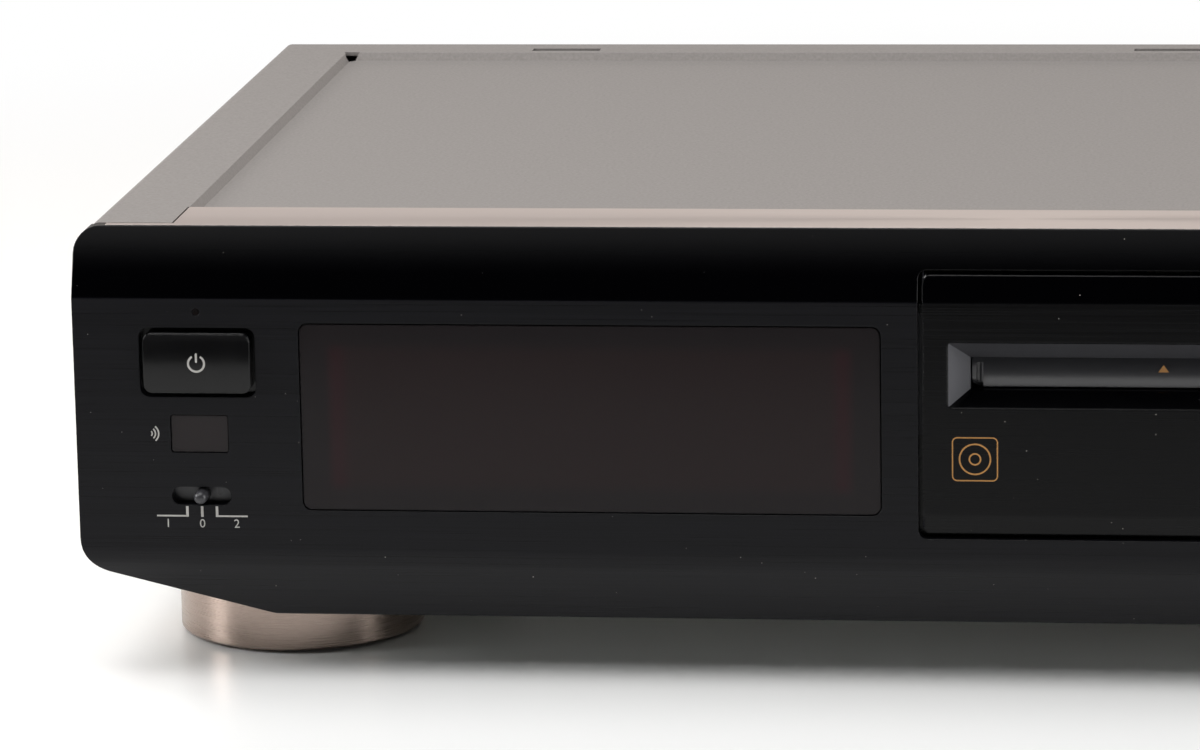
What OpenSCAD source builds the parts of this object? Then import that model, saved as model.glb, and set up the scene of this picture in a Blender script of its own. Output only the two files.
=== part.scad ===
// Full-width minidisc recorder deck with a slot loader behind a sprung flap.
// X runs to the right as the deck is seen from the front, Y to the back and Z up.
// Every module measures Y from the flat of the front face; at_face() then moves it so
// that the origin is on the floor, in the middle of the overall width and depth.

/* [Case] */
// Width of the front panel
panel_w = 430; // [428:1:460]
// Height of the front panel's top edge above the floor
case_top = 105.8; // [104.5:0.1:120]
// Depth from the flat of the face to the back of the top cover
case_depth = 273; // [270:1:320]
// Gap between parts that are fitted together
fit_gap = 0.3; // [0.2:0.05:0.4]

/* [Front panel] */
// Wall of the front moulding
panel_wall = 3; // [2.6:0.1:3.3]
// Wall of the moulding's rim at the sides and the bottom
rim_wall = 2.5; // [2:0.1:3]
// Depth of the moulding's rim
panel_d = 14; // [14:0.2:16]
// Height of the moulding's bottom edge
panel_low = 13.5; // [13:0.1:14.5]
// Height where the flat face begins
face_low = 29; // [27:0.1:31]
// Height where the face begins to lean back
face_high = 90; // [87:0.1:91]
// How far the upper facet leans back
top_lean = 5.9; // [4:0.1:7]
// How far the lower edge rolls back
low_lean = 10; // [7:0.1:10.5]
// Corner radius at the top of the face
corner_r = 6; // [3:0.5:8]
// Width of the slanted corner at the bottom
cut_w = 44; // [30:1:60]
// Height of the slanted corner above the bottom edge
cut_h = 13.6; // [10:0.1:16]
// Radius where the slanted corner meets the side
cut_r = 9; // [5:0.5:12]

/* [Trim strip] */
// Thickness of the trim strip
trim_t = 1.2; // [1:0.1:1.6]
// How far back the trim strip reaches
trim_back = 29.1; // [24:0.1:34]
// Depth of the thin lip that runs on to the corners
lip_d = 2.2; // [1.6:0.1:2.6]

/* [Top cover] */
// Sheet thickness of the top cover
cover_t = 1; // [0.8:0.1:1]
// How far the cover's side stands in from the panel's side
cover_inset = 3; // [2.5:0.5:5]
// Width of the raised rail along each side
rail_w = 19.5; // [14:0.5:24]
// How far the field between the rails is sunk
field_drop = 2; // [1:0.1:3]
// Width of the slope between rail and field
slope_w = 1.2; // [1:0.1:5]
// Depth of the raised band at the back
band_d = 15; // [12:0.5:20]
// Height of the fold at the back
fold_h = 11; // [9:0.5:16]
// Radius of the fold along the sides
fold_r = 2; // [1.5:0.1:3]
// Length of the hook slots in the raised band
hook_l = 18.5; // [12:0.5:24]

/* [Chassis and feet] */
// Sheet thickness of the chassis and the rear panel
sheet_t = 1.2; // [1:0.1:1.6]
// Height of the chassis floor's underside, which is the height of the feet
foot_h = 15.4; // [15:0.1:18]
// Height of the chassis side flanges
flange_h = 12; // [10:0.5:16]
// Width of the slanted strip along each side of the chassis floor
slant_w = 32.8; // [28:0.1:34]
// Rise of the slanted strip
slant_h = 12; // [11:0.1:14]
// Radius of the foot rings
foot_r = 29.1; // [22:0.1:32]
// Distance of the foot centres from the side of the panel
foot_in = 42.2; // [40:0.1:50]
// Distance of the front feet from the face
foot_front = 53; // [48:1:70]
// Distance of the rear feet from the back
foot_rear = 48; // [40:1:60]
// Radius of the foot pads
pad_r = 25; // [18:0.5:27]
// Thickness of the foot pads
pad_t = 1.4; // [1:0.1:2]
// Height of the standoffs under the boards
standoff_h = 8; // [6:0.5:10]
// Thickness of the circuit boards
board_t = 1.6; // [1.2:0.1:2]

/* [Left controls] */
// Distance of the left controls from the panel's left side
left_in = 28.7; // [27:0.1:30]
// Height of the power button's centre
power_z = 75.2; // [74:0.05:76.5]
// Width of the power button's opening
power_w = 26.8; // [24:0.1:28]
// Height of the power button's opening
power_h = 16.1; // [14:0.1:17]
// Travel of the power button
power_travel = 2.5; // [1.5:0.1:2.8]
// Height of the remote sensor window's centre
sensor_z = 58.5; // [58:0.05:60]
// Width of the remote sensor window
sensor_w = 13.1; // [10:0.1:16]
// Height of the remote sensor window
sensor_h = 8.6; // [7:0.1:10]
// Height of the timer switch
timer_z = 43.9; // [42:0.1:46]
// Length of the timer switch's slot
timer_l = 13.8; // [13:0.1:15]
// Height of the timer switch's slot
timer_h = 4.25; // [3.8:0.05:5]
// Travel of the timer switch to each side
timer_travel = 3.5; // [3:0.1:3.6]

/* [Display] */
// Distance of the display window from the panel's left side
display_in = 52.1; // [50:0.1:53]
// Width of the display window
display_w = 132.6; // [110:0.1:133.5]
// Height of the display window
display_h = 43.8; // [38:0.1:45]
// Height of the display window's centre
display_z = 62.6; // [61:0.1:63]

/* [Centre panel and slot] */
// Strip of face between the display window and the centre panel
centre_gap = 9.2; // [9:0.1:10]
// Width of the centre panel
centre_w = 126; // [124:0.5:127]
// Height of the centre panel's bottom edge
centre_low = 36.5; // [34:0.1:37]
// Height of the centre panel's top edge, on the leaning facet
centre_high = 96; // [93:0.1:98]
// Seam round the centre panel
centre_seam = 1; // [0.5:0.1:1.1]
// Distance of the tapered recess from the centre panel's left edge
recess_in = 5.5; // [5:0.1:6.5]
// Depth of the tapered recess
recess_d = 5; // [4:0.1:6]
// Width of the recess's slope at the sides
taper_side = 5.15; // [4:0.05:5.5]
// Height of the recess's slope above the slot
taper_up = 4.45; // [3:0.05:5]
// Height of the recess's slope below the slot
taper_down = 3.65; // [3:0.05:4.5]
// Width of the disc slot
slot_w = 86.5; // [82:0.1:87]
// Height of the disc slot
slot_h = 7.2; // [7:0.1:7.6]
// Height of the disc slot's lower edge
slot_z = 69.4; // [69:0.1:70]
// Radius of the flap's hinge pins
flap_pin_r = 1; // [0.8:0.05:1.1]

/* [Right controls] */
// Width of a transport key
key_w = 15.5; // [13:0.1:16]
// Height of a transport key
key_h = 9; // [7:0.1:10]
// Distance between key centres in a row
key_pitch = 17.5; // [17:0.1:18]
// Height of the upper row of keys
row_high = 77; // [76:0.5:78]
// Height of the lower row of keys
row_low = 63; // [62:0.5:64]
// How far a key stands out of the face
key_out = 1.2; // [0.8:0.1:2]
// Travel of a key
key_travel = 1; // [0.6:0.1:1.2]
// Radius of the jog dial
jog_r = 15; // [12:0.5:16]
// How far the jog dial stands out of the face
jog_out = 9; // [8:0.5:12]
// How far the jog dial is pushed in
jog_push = 0.6; // [0.4:0.05:0.7]
// Height of the jog dial
jog_z = 71; // [70:0.5:72]
// Radius of the recording level knob
level_r = 10; // [8:0.5:11]
// Radius of the phones level and input knobs
small_r = 6; // [5:0.5:7]
// Height of the lower row of knobs and the phones jack
knob_z = 43; // [42:0.5:44]
// How far the lower knobs stand out of the face
knob_out = 8; // [6:0.5:8]
// Radius of the knob shafts
shaft_r = 3; // [2.5:0.1:3.2]
// Radius of the phones jack's bore
jack_r = 3.2; // [3.1:0.05:3.3]

/* [Back] */
// How far the line sockets stand out of the rear panel
socket_out = 7.5; // [6:0.5:10]
// Outer radius of a line socket
socket_r = 4.15; // [4:0.05:4.3]

/* [Mechanism] */
// Distance of the disc's centre from the face when the disc is loaded
disc_y = 66; // [66:0.5:70]
// Inner width of the disc carrier
carrier_w = 74; // [73:0.5:76]
// How far the carrier drops on to the turntable
carrier_drop = 4; // [3:0.1:4]
// How far the cam slider travels
cam_travel = 12; // [9:0.1:12]
// Travel of the optical sled
sled_travel = 16; // [12:0.5:16]
// Radius of the carrier's pins
pin_r = 1.2; // [1:0.05:1.3]
// Pitch of the lead screw
screw_pitch = 2; // [1.8:0.1:2.4]
// Radius of the sled's guide rods
rod_r = 1.5; // [1.2:0.05:1.6]
// Running clearance of a shaft in its bearing
bearing_gap = 0.05; // [0.03:0.01:0.09]
// Module of the rack and its gear
rack_m = 0.8; // [0.7:0.05:0.8]
// Module of the motor pinion and its wheel
wheel_m = 0.6; // [0.5:0.05:0.6]

/* [Hidden] */
$fn = 48;
eps = 0.01;

// The overall depth runs from the jog dial's front to the end of the line sockets.
panel_back = case_depth - cover_t - 0.2;   // outer face of the rear panel
reach_back = panel_back + socket_out;
face_y = jog_out - (jog_out + reach_back) / 2;

half_w = panel_w / 2;
left = -half_w;
cover_half = half_w - cover_inset;
rail_in = cover_half - rail_w;
field_z = case_top - field_drop;
band_y = case_depth - band_d;
cut_x = half_w - cut_w;
cover_low = foot_h + slant_h + 1.6;

chassis_half = cover_half - cover_t - 0.2;
floor_z = foot_h + sheet_t;
chassis_front = panel_d + 0.2;
rear_in = panel_back - sheet_t;            // inner face of the rear panel
board_z = floor_z + standoff_h;
board_top = board_z + board_t;

// Places across the face, worked out from the left side
left_x = left + left_in;
lamp_z = power_z + power_h / 2 + 3.65;
display_x0 = left + display_in;
display_x = display_x0 + display_w / 2;
centre_x0 = display_x0 + display_w + centre_gap;
centre_x1 = centre_x0 + centre_w;
recess_x0 = centre_x0 + recess_in;
slot_x0 = recess_x0 + taper_side;
slot_x1 = slot_x0 + slot_w;
slot_x = (slot_x0 + slot_x1) / 2;
recess_x1 = slot_x1 + taper_side;
slot_top = slot_z + slot_h;

// Places across the face, worked out from the right side
jog_x = half_w - 27;
keys_x = centre_x1 + 17.8;
jack_x = keys_x;
phones_x = jack_x + 0.3 * (jog_x - jack_x);
selector_x = jack_x + 0.58 * (jog_x - jack_x);

// Boards behind the face
board_y = 12;
switch_d = 3.4;
boss_r = 2;
left_boss_x = left + 9;
mid_boss_x = display_x0 + display_w + 4;
keys_boss_x = centre_x1 + 6;
right_boss_x = half_w - 7;
boss_low = 38;
boss_high = 89.5;

// A key is [x, z, width, height, radius of its corners]
play = [keys_x, row_high, key_w, key_h, 1.2];
pause = [keys_x + key_pitch, row_high, key_w, key_h, 1.2];
stop = [keys_x + 2 * key_pitch, row_high, key_w, key_h, 1.2];
rewind = [keys_x, row_low, key_w, key_h, 1.2];
forward = [keys_x + key_pitch, row_low, key_w, key_h, 1.2];
record = [keys_x + 2 * key_pitch, row_low, key_w, key_h, 1.2];
eject = [recess_x1 + 12, slot_z + slot_h / 2, 14, 8, 1.2];
small_pitch = 18;
mode = [eject[0] - small_pitch, 50, 11, 5, 2.4];
menu = [eject[0], 50, 11, 5, 2.4];
show = [eject[0] - 2 * small_pitch, 50, 11, 5, 2.4];
FACE_KEYS = [play, pause, stop, rewind, forward, record];
CENTRE_KEYS = [eject, show, mode, menu];

// Slot flap, hinged along its top edge
hinge_y = recess_d + 3;
hinge_z = slot_top + 1;
flap_x0 = slot_x0 + fit_gap + 0.05;
flap_x1 = slot_x1 - fit_gap - 0.05;
housing_d = recess_d + 12.5;

// Loader and drive. Heights step up from the chassis floor.
bracket_z = 48;
damper_h = 5;
base_z = bracket_z + damper_h;
base_t = 1.5;
deck_z = base_z + base_t;
carrier_z = slot_z;
carrier_t = 1;
carrier_h = 8.8;
carrier_half = carrier_w / 2 + carrier_t;
carrier_y0 = 26;
carrier_y1 = disc_y + 36;
slider_x = carrier_half + 0.6;
slider_t = 1.5;
wall_x = slider_x + slider_t + 0.6;
wall_t = 1.5;
pin_z = carrier_z + 4;
pin_y0 = disc_y - 26;
pin_y1 = disc_y + 22;
rod_x = 20;
rod_z = deck_z + 4;
rod_y0 = disc_y + 4;
rod_y1 = disc_y + 66;
screw_x = 28;
screw_y0 = rod_y0 + 5;
arm_y = disc_y + 43;
arm_z = carrier_z + 12.3;
gear_n = 12;
wheel_n = 30;
pinion_n = 10;
gear_r = rack_m * gear_n / 2;
gear_y = disc_y + 26;
rack_z = carrier_z + 8.6;
gear_z = rack_z + gear_r;
mesh_gap = 0.05;
pinion_y = gear_y - wheel_m * (wheel_n + pinion_n) / 2 - mesh_gap;

black = "#1c1c1e";
key_black = "#232325";
steel = "#b9bcc0";
champagne = "#b9aba4";
taupe = "#96928e";
board_green = "#2f6b45";

// ---------- helpers ----------

module at_face() {
    translate([0, face_y, 0]) children();
}

// Extrudes a front view, drawn in X and Z, from y0 back to y1
module along_y(y0, y1) {
    translate([0, y1, 0]) rotate([90, 0, 0]) linear_extrude(y1 - y0) children();
}

// Extrudes a side view, drawn in Y and Z, from x0 to x1
module along_x(x0, x1) {
    translate([x0, 0, 0]) rotate([90, 0, 90]) linear_extrude(x1 - x0) children();
}

module box(x0, x1, y0, y1, z0, z1) {
    translate([x0, y0, z0]) cube([x1 - x0, y1 - y0, z1 - z0]);
}

module rod_along_y(x, z, r, y0, y1) {
    translate([x, y0, z]) rotate([-90, 0, 0]) cylinder(h = y1 - y0, r = r);
}

module rod_along_x(y, z, r, x0, x1) {
    translate([x0, y, z]) rotate([0, 90, 0]) cylinder(h = x1 - x0, r = r);
}

function unit(v) = v / norm(v);
function turn(from, to) = (to - from + 540) % 360 - 180;

// Points of one corner p of a polygon, rounded to radius r between its neighbours a and b
function corner(a, p, b, r, n) =
    r <= 0 ? [p] :
    let (u = unit(a - p), v = unit(b - p), h = acos(u * v) / 2)
    let (c = p + unit(u + v) * r / sin(h), s = p + u * r / tan(h) - c, e = p + v * r / tan(h) - c)
    let (start = atan2(s[1], s[0]), sweep = turn(start, atan2(e[1], e[0])))
    [for (i = [0:n]) c + r * [cos(start + sweep * i / n), sin(start + sweep * i / n)]];

// A polygon's points with each corner rounded to its own radius
function rounded(pts, radii, n = 5) =
    let (k = len(pts))
    [for (i = [0:k - 1]) each corner(pts[(i + k - 1) % k], pts[i], pts[(i + 1) % k], radii[i], n)];

function rect(w, h) = [[-w / 2, -h / 2], [w / 2, -h / 2], [w / 2, h / 2], [-w / 2, h / 2]];

module plate2d(x, z, w, h, r) {
    translate([x, z]) polygon(rounded(rect(w, h), [r, r, r, r]));
}

// ---------- case ----------

// Front view of the panel, drawn in by the given inset
module panel_front_view(inset) {
    w = half_w - inset;
    zt = case_top - inset;
    zb = panel_low + inset;
    zc = panel_low + cut_h + inset;
    polygon(rounded(
        [[-w, zt], [-w, zc], [-cut_x, zb], [cut_x, zb], [w, zc], [w, zt]],
        [corner_r, cut_r, 1, 1, cut_r, corner_r], 8));
}

// Side view of the face's front skin, from the bottom edge to the top, closed at y_back
function face_line(shift) = [
    [low_lean + shift, panel_low + shift * 0.8],
    [shift, face_low],
    [shift, face_high],
    [top_lean + shift, case_top - shift * 0.8]
];

function y_on_facet(z) = top_lean * (z - face_high) / (case_top - face_high);

module panel_side_view() {
    f = face_line(0);
    step_y = top_lean + 0.8;
    polygon(rounded(
        [[panel_d, panel_low], f[0], f[1], f[2], f[3], [step_y, case_top],
         [step_y, case_top - trim_t], [panel_d, case_top - trim_t]],
        [0, 1.5, 8, 1.2, 0.3, 0.2, 0, 0], 6));
}

module panel_hollow_view() {
    top = case_top - trim_t - rim_wall;
    polygon([[panel_d + 1, panel_low + rim_wall], [low_lean + panel_wall, panel_low + rim_wall],
        [panel_wall, face_low + 1], [panel_wall, face_high],
        [y_on_facet(top) + panel_wall, top], [panel_d + 1, top]]);
}

module front_panel() {
    shelf_z = case_top - trim_t;
    color(black) at_face() difference() {
        union() {
            intersection() {
                along_x(-half_w, half_w) panel_side_view();
                along_y(-1, panel_d + 1) panel_front_view(0);
            }
            box(-rail_in + 0.6, rail_in - 0.6, panel_d - 1, trim_back, shelf_z - 2, shelf_z);
        }
        difference() {
            intersection() {
                along_x(-half_w, half_w) panel_hollow_view();
                along_y(-1, panel_d + 2) panel_front_view(rim_wall);
            }
            for (x = [left_boss_x, mid_boss_x, keys_boss_x, right_boss_x], z = [boss_low, boss_high])
                rod_along_y(x, z, boss_r, 0, board_y);
        }
        along_y(-1, panel_wall + 3) {
            plate2d(left_x, power_z, power_w, power_h, 2.2);
            plate2d(left_x, sensor_z, sensor_w + 0.4, sensor_h + 0.4, 0.8);
            plate2d(left_x, timer_z, timer_l, timer_h, timer_h / 2 - 0.05);
            plate2d(display_x, display_z, display_w, display_h, 2.2);
            for (k = FACE_KEYS) plate2d(k[0], k[1], k[2], k[3], k[4]);
            centre_front_view(centre_seam);
        }
        along_y(1, board_y - 1) centre_front_view(centre_seam);
        rod_along_y(left_x, lamp_z, 0.9, -1, panel_wall + 1);
        rod_along_y(jog_x, jog_z, shaft_r + 0.6, -1, panel_wall + 1);
        rod_along_y(jog_x, knob_z, shaft_r + 0.6, -1, panel_wall + 1);
        rod_along_y(phones_x, knob_z, shaft_r + 0.6, -1, panel_wall + 1);
        rod_along_y(selector_x, knob_z, shaft_r + 0.6, -1, panel_wall + 1);
        rod_along_y(jack_x, knob_z, jack_r + 2.3, -1, panel_wall + 1);
    }
}

module top_trim() {
    z0 = case_top - trim_t;
    y0 = top_lean + 1;
    color(champagne) at_face() {
        box(-rail_in, rail_in, y0, trim_back, z0, case_top);
        box(-half_w + corner_r + 1, half_w - corner_r - 1, y0, y0 + lip_d, z0, case_top);
    }
}

// Outer envelope of the cover, drawn in by t for the space inside it
module cover_body(t) {
    w = cover_half - t;
    side_r = max(fold_r - t, 0.6);
    y0 = top_lean + 1 + lip_d + 0.4;
    top = case_top - t;
    low = t > 0 ? cover_low - 1 : cover_low;
    bend = t * (norm([slope_w, field_drop]) - slope_w) / field_drop;
    along_y(t > 0 ? y0 - 1 : y0, case_depth - t) difference() {
        polygon(rounded([[-w, low], [w, low], [w, top], [-w, top]], [0, 0, side_r, side_r]));
        polygon([[-rail_in + slope_w - bend, field_z - t], [rail_in - slope_w + bend, field_z - t],
            [rail_in + bend, top + eps], [-rail_in - bend, top + eps]]);
    }
    along_x(-rail_in - bend, rail_in + bend)
        polygon([[band_y - slope_w + bend, field_z - t], [band_y + bend, top],
            [case_depth - t, top], [case_depth - t, field_z - t]]);
}

// Three-cornered holes where the slopes of rail and band meet, so that the sheet can be folded
module corner_holes() {
    for (s = [-1, 1])
        translate([s * rail_in, band_y, case_top - 2 * field_drop]) linear_extrude(3 * field_drop)
            polygon(rounded([[s * 0.6, 1.2], [-s * 4.2, 0.8], [-s * 0.6, -4]], [0.5, 0.5, 0.5]));
}

module top_cover() {
    notch_y = trim_back + 0.2;
    color(taupe) at_face() difference() {
        cover_body(0);
        cover_body(cover_t);
        box(-rail_in - 0.45, rail_in + 0.45, 0, notch_y, field_z - 20, case_top + 1);
        for (s = [-1, 1])
            translate([s * cover_half - 5, 0, 0])
                box(0, 10, 0, chassis_front, 0, case_top - cover_t - 0.2);
        box(-cover_half + cover_t, cover_half - cover_t, case_depth - 3, case_depth + 1, 0,
            case_top - fold_h);
        for (x = [-0.6134 * cover_half - 2.6, 0.1445 * cover_half])
            box(x - hook_l / 2, x + hook_l / 2, case_depth - 11.5, case_depth - 7.5, field_z, case_top + 1);
        corner_holes();
        cover_screw_places() cylinder(h = 6, r = 1.8, center = true);
    }
}

// Four screws in the sides and three in the fold at the back
module cover_screw_places() {
    for (s = [-1, 1], y = [chassis_front + 26, rear_in - 40])
        translate([s * (cover_half - cover_t), y, cover_low + 6]) rotate([0, s * 90, 0]) children();
    for (x = [-150, 0, 150])
        translate([x, case_depth - cover_t, case_top - 7]) rotate([-90, 0, 0]) children();
}

module cover_screws() {
    color(black) at_face() cover_screw_places() screw(3.6, 1.9, 1.5, 5, cover_t);
}

// A screw whose head sits on z = seat, with a cross recess; the shank points down
module screw(head_r, head_h, shank_r, shank_l, seat) {
    translate([0, 0, seat]) difference() {
        union() {
            rotate_extrude() polygon([[0, 0], [head_r, 0], [head_r, head_h * 0.35],
                [head_r * 0.8, head_h * 0.8], [head_r * 0.45, head_h], [0, head_h]]);
            translate([0, 0, -shank_l]) cylinder(h = shank_l, r = shank_r);
        }
        for (a = [0, 90]) rotate(a) box(-head_r * 0.55, head_r * 0.55, -0.35, 0.35, head_h * 0.45, head_h + 1);
    }
}

module foot_places() {
    for (s = [-1, 1], y = [foot_front, case_depth - foot_rear])
        translate([s * (half_w - foot_in), y, 0]) children();
}

module feet() {
    rim_z = pad_t - 0.6;
    color(champagne) at_face() foot_places() difference() {
        rotate_extrude($fn = 96) polygon([[0, rim_z], [foot_r - 0.6, rim_z], [foot_r, rim_z + 0.6],
            [foot_r, foot_h - 0.4], [foot_r - 0.4, foot_h], [0, foot_h]]);
        translate([0, 0, rim_z - 1]) cylinder(h = 1 + pad_t - rim_z, r = pad_r + 0.3);
        cylinder(h = 8, r = 4);
        cylinder(h = foot_h + 1, r = 1.8);
    }
}

module foot_pads() {
    color("#2a2a2c") at_face() foot_places() difference() {
        cylinder(h = pad_t, r = pad_r);
        translate([0, 0, -1]) cylinder(h = pad_t + 2, r = 6);
    }
}

module foot_screws() {
    color(steel) at_face() foot_places() translate([0, 0, 8])
        mirror([0, 0, 1]) screw(3.2, 2, 1.6, foot_h + sheet_t - 8 + 1.5, 0);
}

// Front view of the tray: a flat floor, a slanted strip along each side, upright flanges
module chassis_front_view(t, top) {
    w = chassis_half - t;
    bend = chassis_half - slant_w - 0.27 * t;
    polygon([[-w, top], [-w, foot_h + slant_h + 0.73 * t], [-bend, foot_h + t], [bend, foot_h + t],
        [w, foot_h + slant_h + 0.73 * t], [w, top]]);
}

module bottom_chassis() {
    y0 = chassis_front;
    w = chassis_half;
    color(steel) at_face() difference() {
        union() {
            along_y(y0, rear_in) difference() {
                chassis_front_view(0, foot_h + slant_h + flange_h);
                chassis_front_view(sheet_t, case_top);
            }
            along_y(y0, y0 + sheet_t) chassis_front_view(0, foot_h + slant_h);
            along_y(rear_in - sheet_t, rear_in) intersection() {
                chassis_front_view(0, foot_h + slant_h);
                translate([-w, 0]) square([2 * w, board_z - 0.4]);
            }
            board_posts() cylinder(h = standoff_h, r = 3);
        }
        foot_places() translate([0, 0, foot_h - 1]) cylinder(h = sheet_t + 2, r = 1.65);
        board_posts() cylinder(h = standoff_h + 1, r = 1.2);
        for (s = [-1, 1], y = [chassis_front + 26, rear_in - 40])
            translate([s * w, y, cover_low + 6]) rotate([0, 90, 0]) cylinder(h = 8, r = 1.7, center = true);
        vent_rows(slot_x - 40, slot_x + 40, 62, 8);
        vent_rows(slot_x - 40, slot_x + 40, 96, 8);
        vent_rows(left + 30, left + 120, case_depth / 2 - 16, 9);
    }
}

// A row of n slots through the chassis floor, between x0 and x1
module vent_rows(x0, x1, y, n) {
    for (i = [0:n - 1])
        translate([x0 + (x1 - x0) * (i + 0.5) / n, y, foot_h - 1])
            linear_extrude(sheet_t + 2) plate2d(0, 0, 3.4, 26, 1.65);
}

module board_posts() {
    for (x = [left + 45, left + 130], y = [65, 155]) translate([x, y, floor_z]) children();
    for (x = [half_w - 111, half_w - 45], y = [65, rear_in - 22]) translate([x, y, floor_z]) children();
}

// ---------- back ----------

line_x = half_w - 50;
line_z = [board_top + 10, board_top + 28];
line_dx = 11;
optical_x = [half_w - 106, half_w - 90];
optical_z = board_top + 6;
inlet_x = left + 30;
inlet_z = 48;

module rear_panel() {
    color(taupe) at_face() difference() {
        along_y(rear_in, panel_back) intersection() {
            chassis_front_view(0, case_top - cover_t - 0.2);
            plate2d(0, case_top / 2, 2 * chassis_half, case_top - 2 * cover_t - 0.4, 1);
        }
        for (s = [-1, 1], z = line_z) rod_along_y(line_x + s * line_dx, z, socket_r + 0.6, rear_in - 1, panel_back + 1);
        along_y(rear_in - 1, panel_back + 1) {
            for (x = optical_x) plate2d(x, optical_z, 10.6, 10.6, 0.6);
            plate2d(inlet_x, inlet_z, 20.6, 12.6, 1);
        }
        for (x = [-150, 0, 150]) rod_along_y(x, case_top - 7, 1.7, rear_in - 1, panel_back + 1);
        for (i = [0:8]) along_y(rear_in - 1, panel_back + 1) plate2d(left + 90 + i * 8, 70, 3, 30, 1.45);
    }
}

module line_sockets() {
    color("#26262a") at_face() {
        difference() {
            box(line_x - 22, line_x + 22, rear_in - 14, rear_in, board_top, line_z[1] + 9);
            for (s = [-1, 1], z = line_z) rod_along_y(line_x + s * line_dx, z, 1.7, rear_in - 8, rear_in + 1);
        }
        for (s = [-1, 1], z = line_z) difference() {
            rod_along_y(line_x + s * line_dx, z, socket_r, rear_in, reach_back);
            difference() {
                rod_along_y(line_x + s * line_dx, z, socket_r - 0.8, rear_in + 1, reach_back + 1);
                rod_along_y(line_x + s * line_dx, z, 2.7, rear_in, reach_back - 0.8);
            }
            rod_along_y(line_x + s * line_dx, z, 1.7, rear_in - 1, reach_back + 1);
        }
    }
}

module optical_sockets() {
    color("#222224") at_face() for (x = optical_x) difference() {
        union() {
            box(x - 7, x + 7, rear_in - 13, rear_in, board_top, optical_z + 7);
            along_y(rear_in, panel_back + 1.4) plate2d(x, optical_z, 10, 10, 0.5);
        }
        along_y(panel_back + 0.6, panel_back + 2) plate2d(x, optical_z, 7, 7, 0.4);
    }
}

module mains_inlet() {
    color("#1e1e20") at_face() {
        difference() {
            union() {
                box(inlet_x - 10, inlet_x + 10, rear_in - 16, panel_back, inlet_z - 6, inlet_z + 6);
                along_y(panel_back, panel_back + 1.6) plate2d(inlet_x, inlet_z, 25, 16, 2);
            }
            along_y(panel_back - 11, panel_back + 2) {
                for (s = [-1, 1]) translate([inlet_x + s * 4.3, inlet_z]) circle(r = 4.1);
                translate([inlet_x, inlet_z]) square([8.6, 7], center = true);
            }
        }
        for (s = [-1, 1]) rod_along_y(inlet_x + s * 4.3, inlet_z, 1.2, panel_back - 11, panel_back - 1);
    }
}

// ---------- windows and left controls ----------

module window(x, z, w, h, r, front) {
    along_y(front, panel_wall) plate2d(x, z, w, h, r);
    along_y(panel_wall, panel_wall + 0.8) plate2d(x, z, w + 3, h + 3, r);
}

module display_window() {
    color("#2a2224") at_face()
        window(display_x, display_z, display_w - 2 * fit_gap, display_h - 2 * fit_gap, 2, 0.2);
}

module sensor_window() {
    color("#241c22") at_face() window(left_x, sensor_z, sensor_w, sensor_h, 0.6, 0.4);
}

module standby_lamp() {
    color("#5a1512") at_face() {
        rod_along_y(left_x, lamp_z, 0.8, 0.4, board_y - 2);
        rod_along_y(left_x, lamp_z, 2.2, board_y - 2, board_y);
    }
}

module power_button() {
    color(key_black) at_face() {
        crowned_cap([left_x, power_z, power_w, power_h, 1.9], 1.1, 1.4, 70);
        along_y(panel_wall + 0.1, panel_wall + 1.2)
            plate2d(left_x, power_z, power_w + 2, power_h + 1.6, 1);
        rod_along_y(left_x, power_z, 2.5, panel_wall + 1.2, board_y - switch_d - power_travel - fit_gap);
    }
}

// Cap of a key k, smaller than its opening by the gap all round, with a softly domed front
module crowned_cap(k, gap, out, crown_r) {
    intersection() {
        along_y(-out, panel_wall + 0.1) plate2d(k[0], k[1], k[2] - 2 * gap, k[3] - 2 * gap, k[4]);
        rod_along_x(crown_r - out, k[1], crown_r, k[0] - k[2], k[0] + k[2], $fn = 180);
    }
}

module timer_knob() {
    pin = 1.55;
    color(key_black) at_face() {
        rod_along_y(left_x, timer_z, pin, -1.4, panel_wall + 0.2);
        translate([left_x, -1.4, timer_z]) scale(1) sphere(r = pin, $fn = 36);
        along_y(panel_wall + 0.2, panel_wall + 1.2) plate2d(left_x, timer_z, timer_l + 9, timer_h + 3, 0.8);
        rod_along_y(left_x, timer_z, 1.2, panel_wall + 1.2, board_y - switch_d - fit_gap);
    }
}

// ---------- centre panel ----------

module centre_front_view(grow) {
    w = centre_w + 2 * grow;
    h = centre_high - centre_low + 2 * grow;
    translate([centre_x0 + centre_w / 2, (centre_high + centre_low) / 2])
        polygon(rounded(rect(w, h), [2, 2, 2, 2]));
}

module centre_side_view() {
    y_top = y_on_facet(centre_high);
    polygon(rounded([[panel_wall + 2, centre_low], [1, centre_low], [0, centre_low + 4.5], [0, face_high],
        [y_top, centre_high], [y_top + panel_wall, centre_high], [panel_wall + 2, face_high]],
        [0, 0.4, 3, 1.2, 0.4, 0, 0], 5));
}

// Space of the tapered recess: a side view and a plan view that both narrow to the slot
module recess_space() {
    intersection() {
        along_x(recess_x0, recess_x1)
            polygon([[-1, slot_z - taper_down], [-1, slot_top + taper_up], [0, slot_top + taper_up],
                [recess_d, slot_top], [recess_d, slot_z], [0, slot_z - taper_down]]);
        translate([0, 0, slot_z - taper_down - 1]) linear_extrude(slot_h + taper_up + taper_down + 2)
            polygon([[recess_x0, -1], [recess_x1, -1], [recess_x1, 0], [slot_x1, recess_d],
                [slot_x0, recess_d], [recess_x0, 0]]);
        along_y(-2, recess_d + 1) plate2d((recess_x0 + recess_x1) / 2, slot_z + (slot_h + taper_up - taper_down) / 2,
            recess_x1 - recess_x0, slot_h + taper_up + taper_down, 1.5);
    }
}

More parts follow.
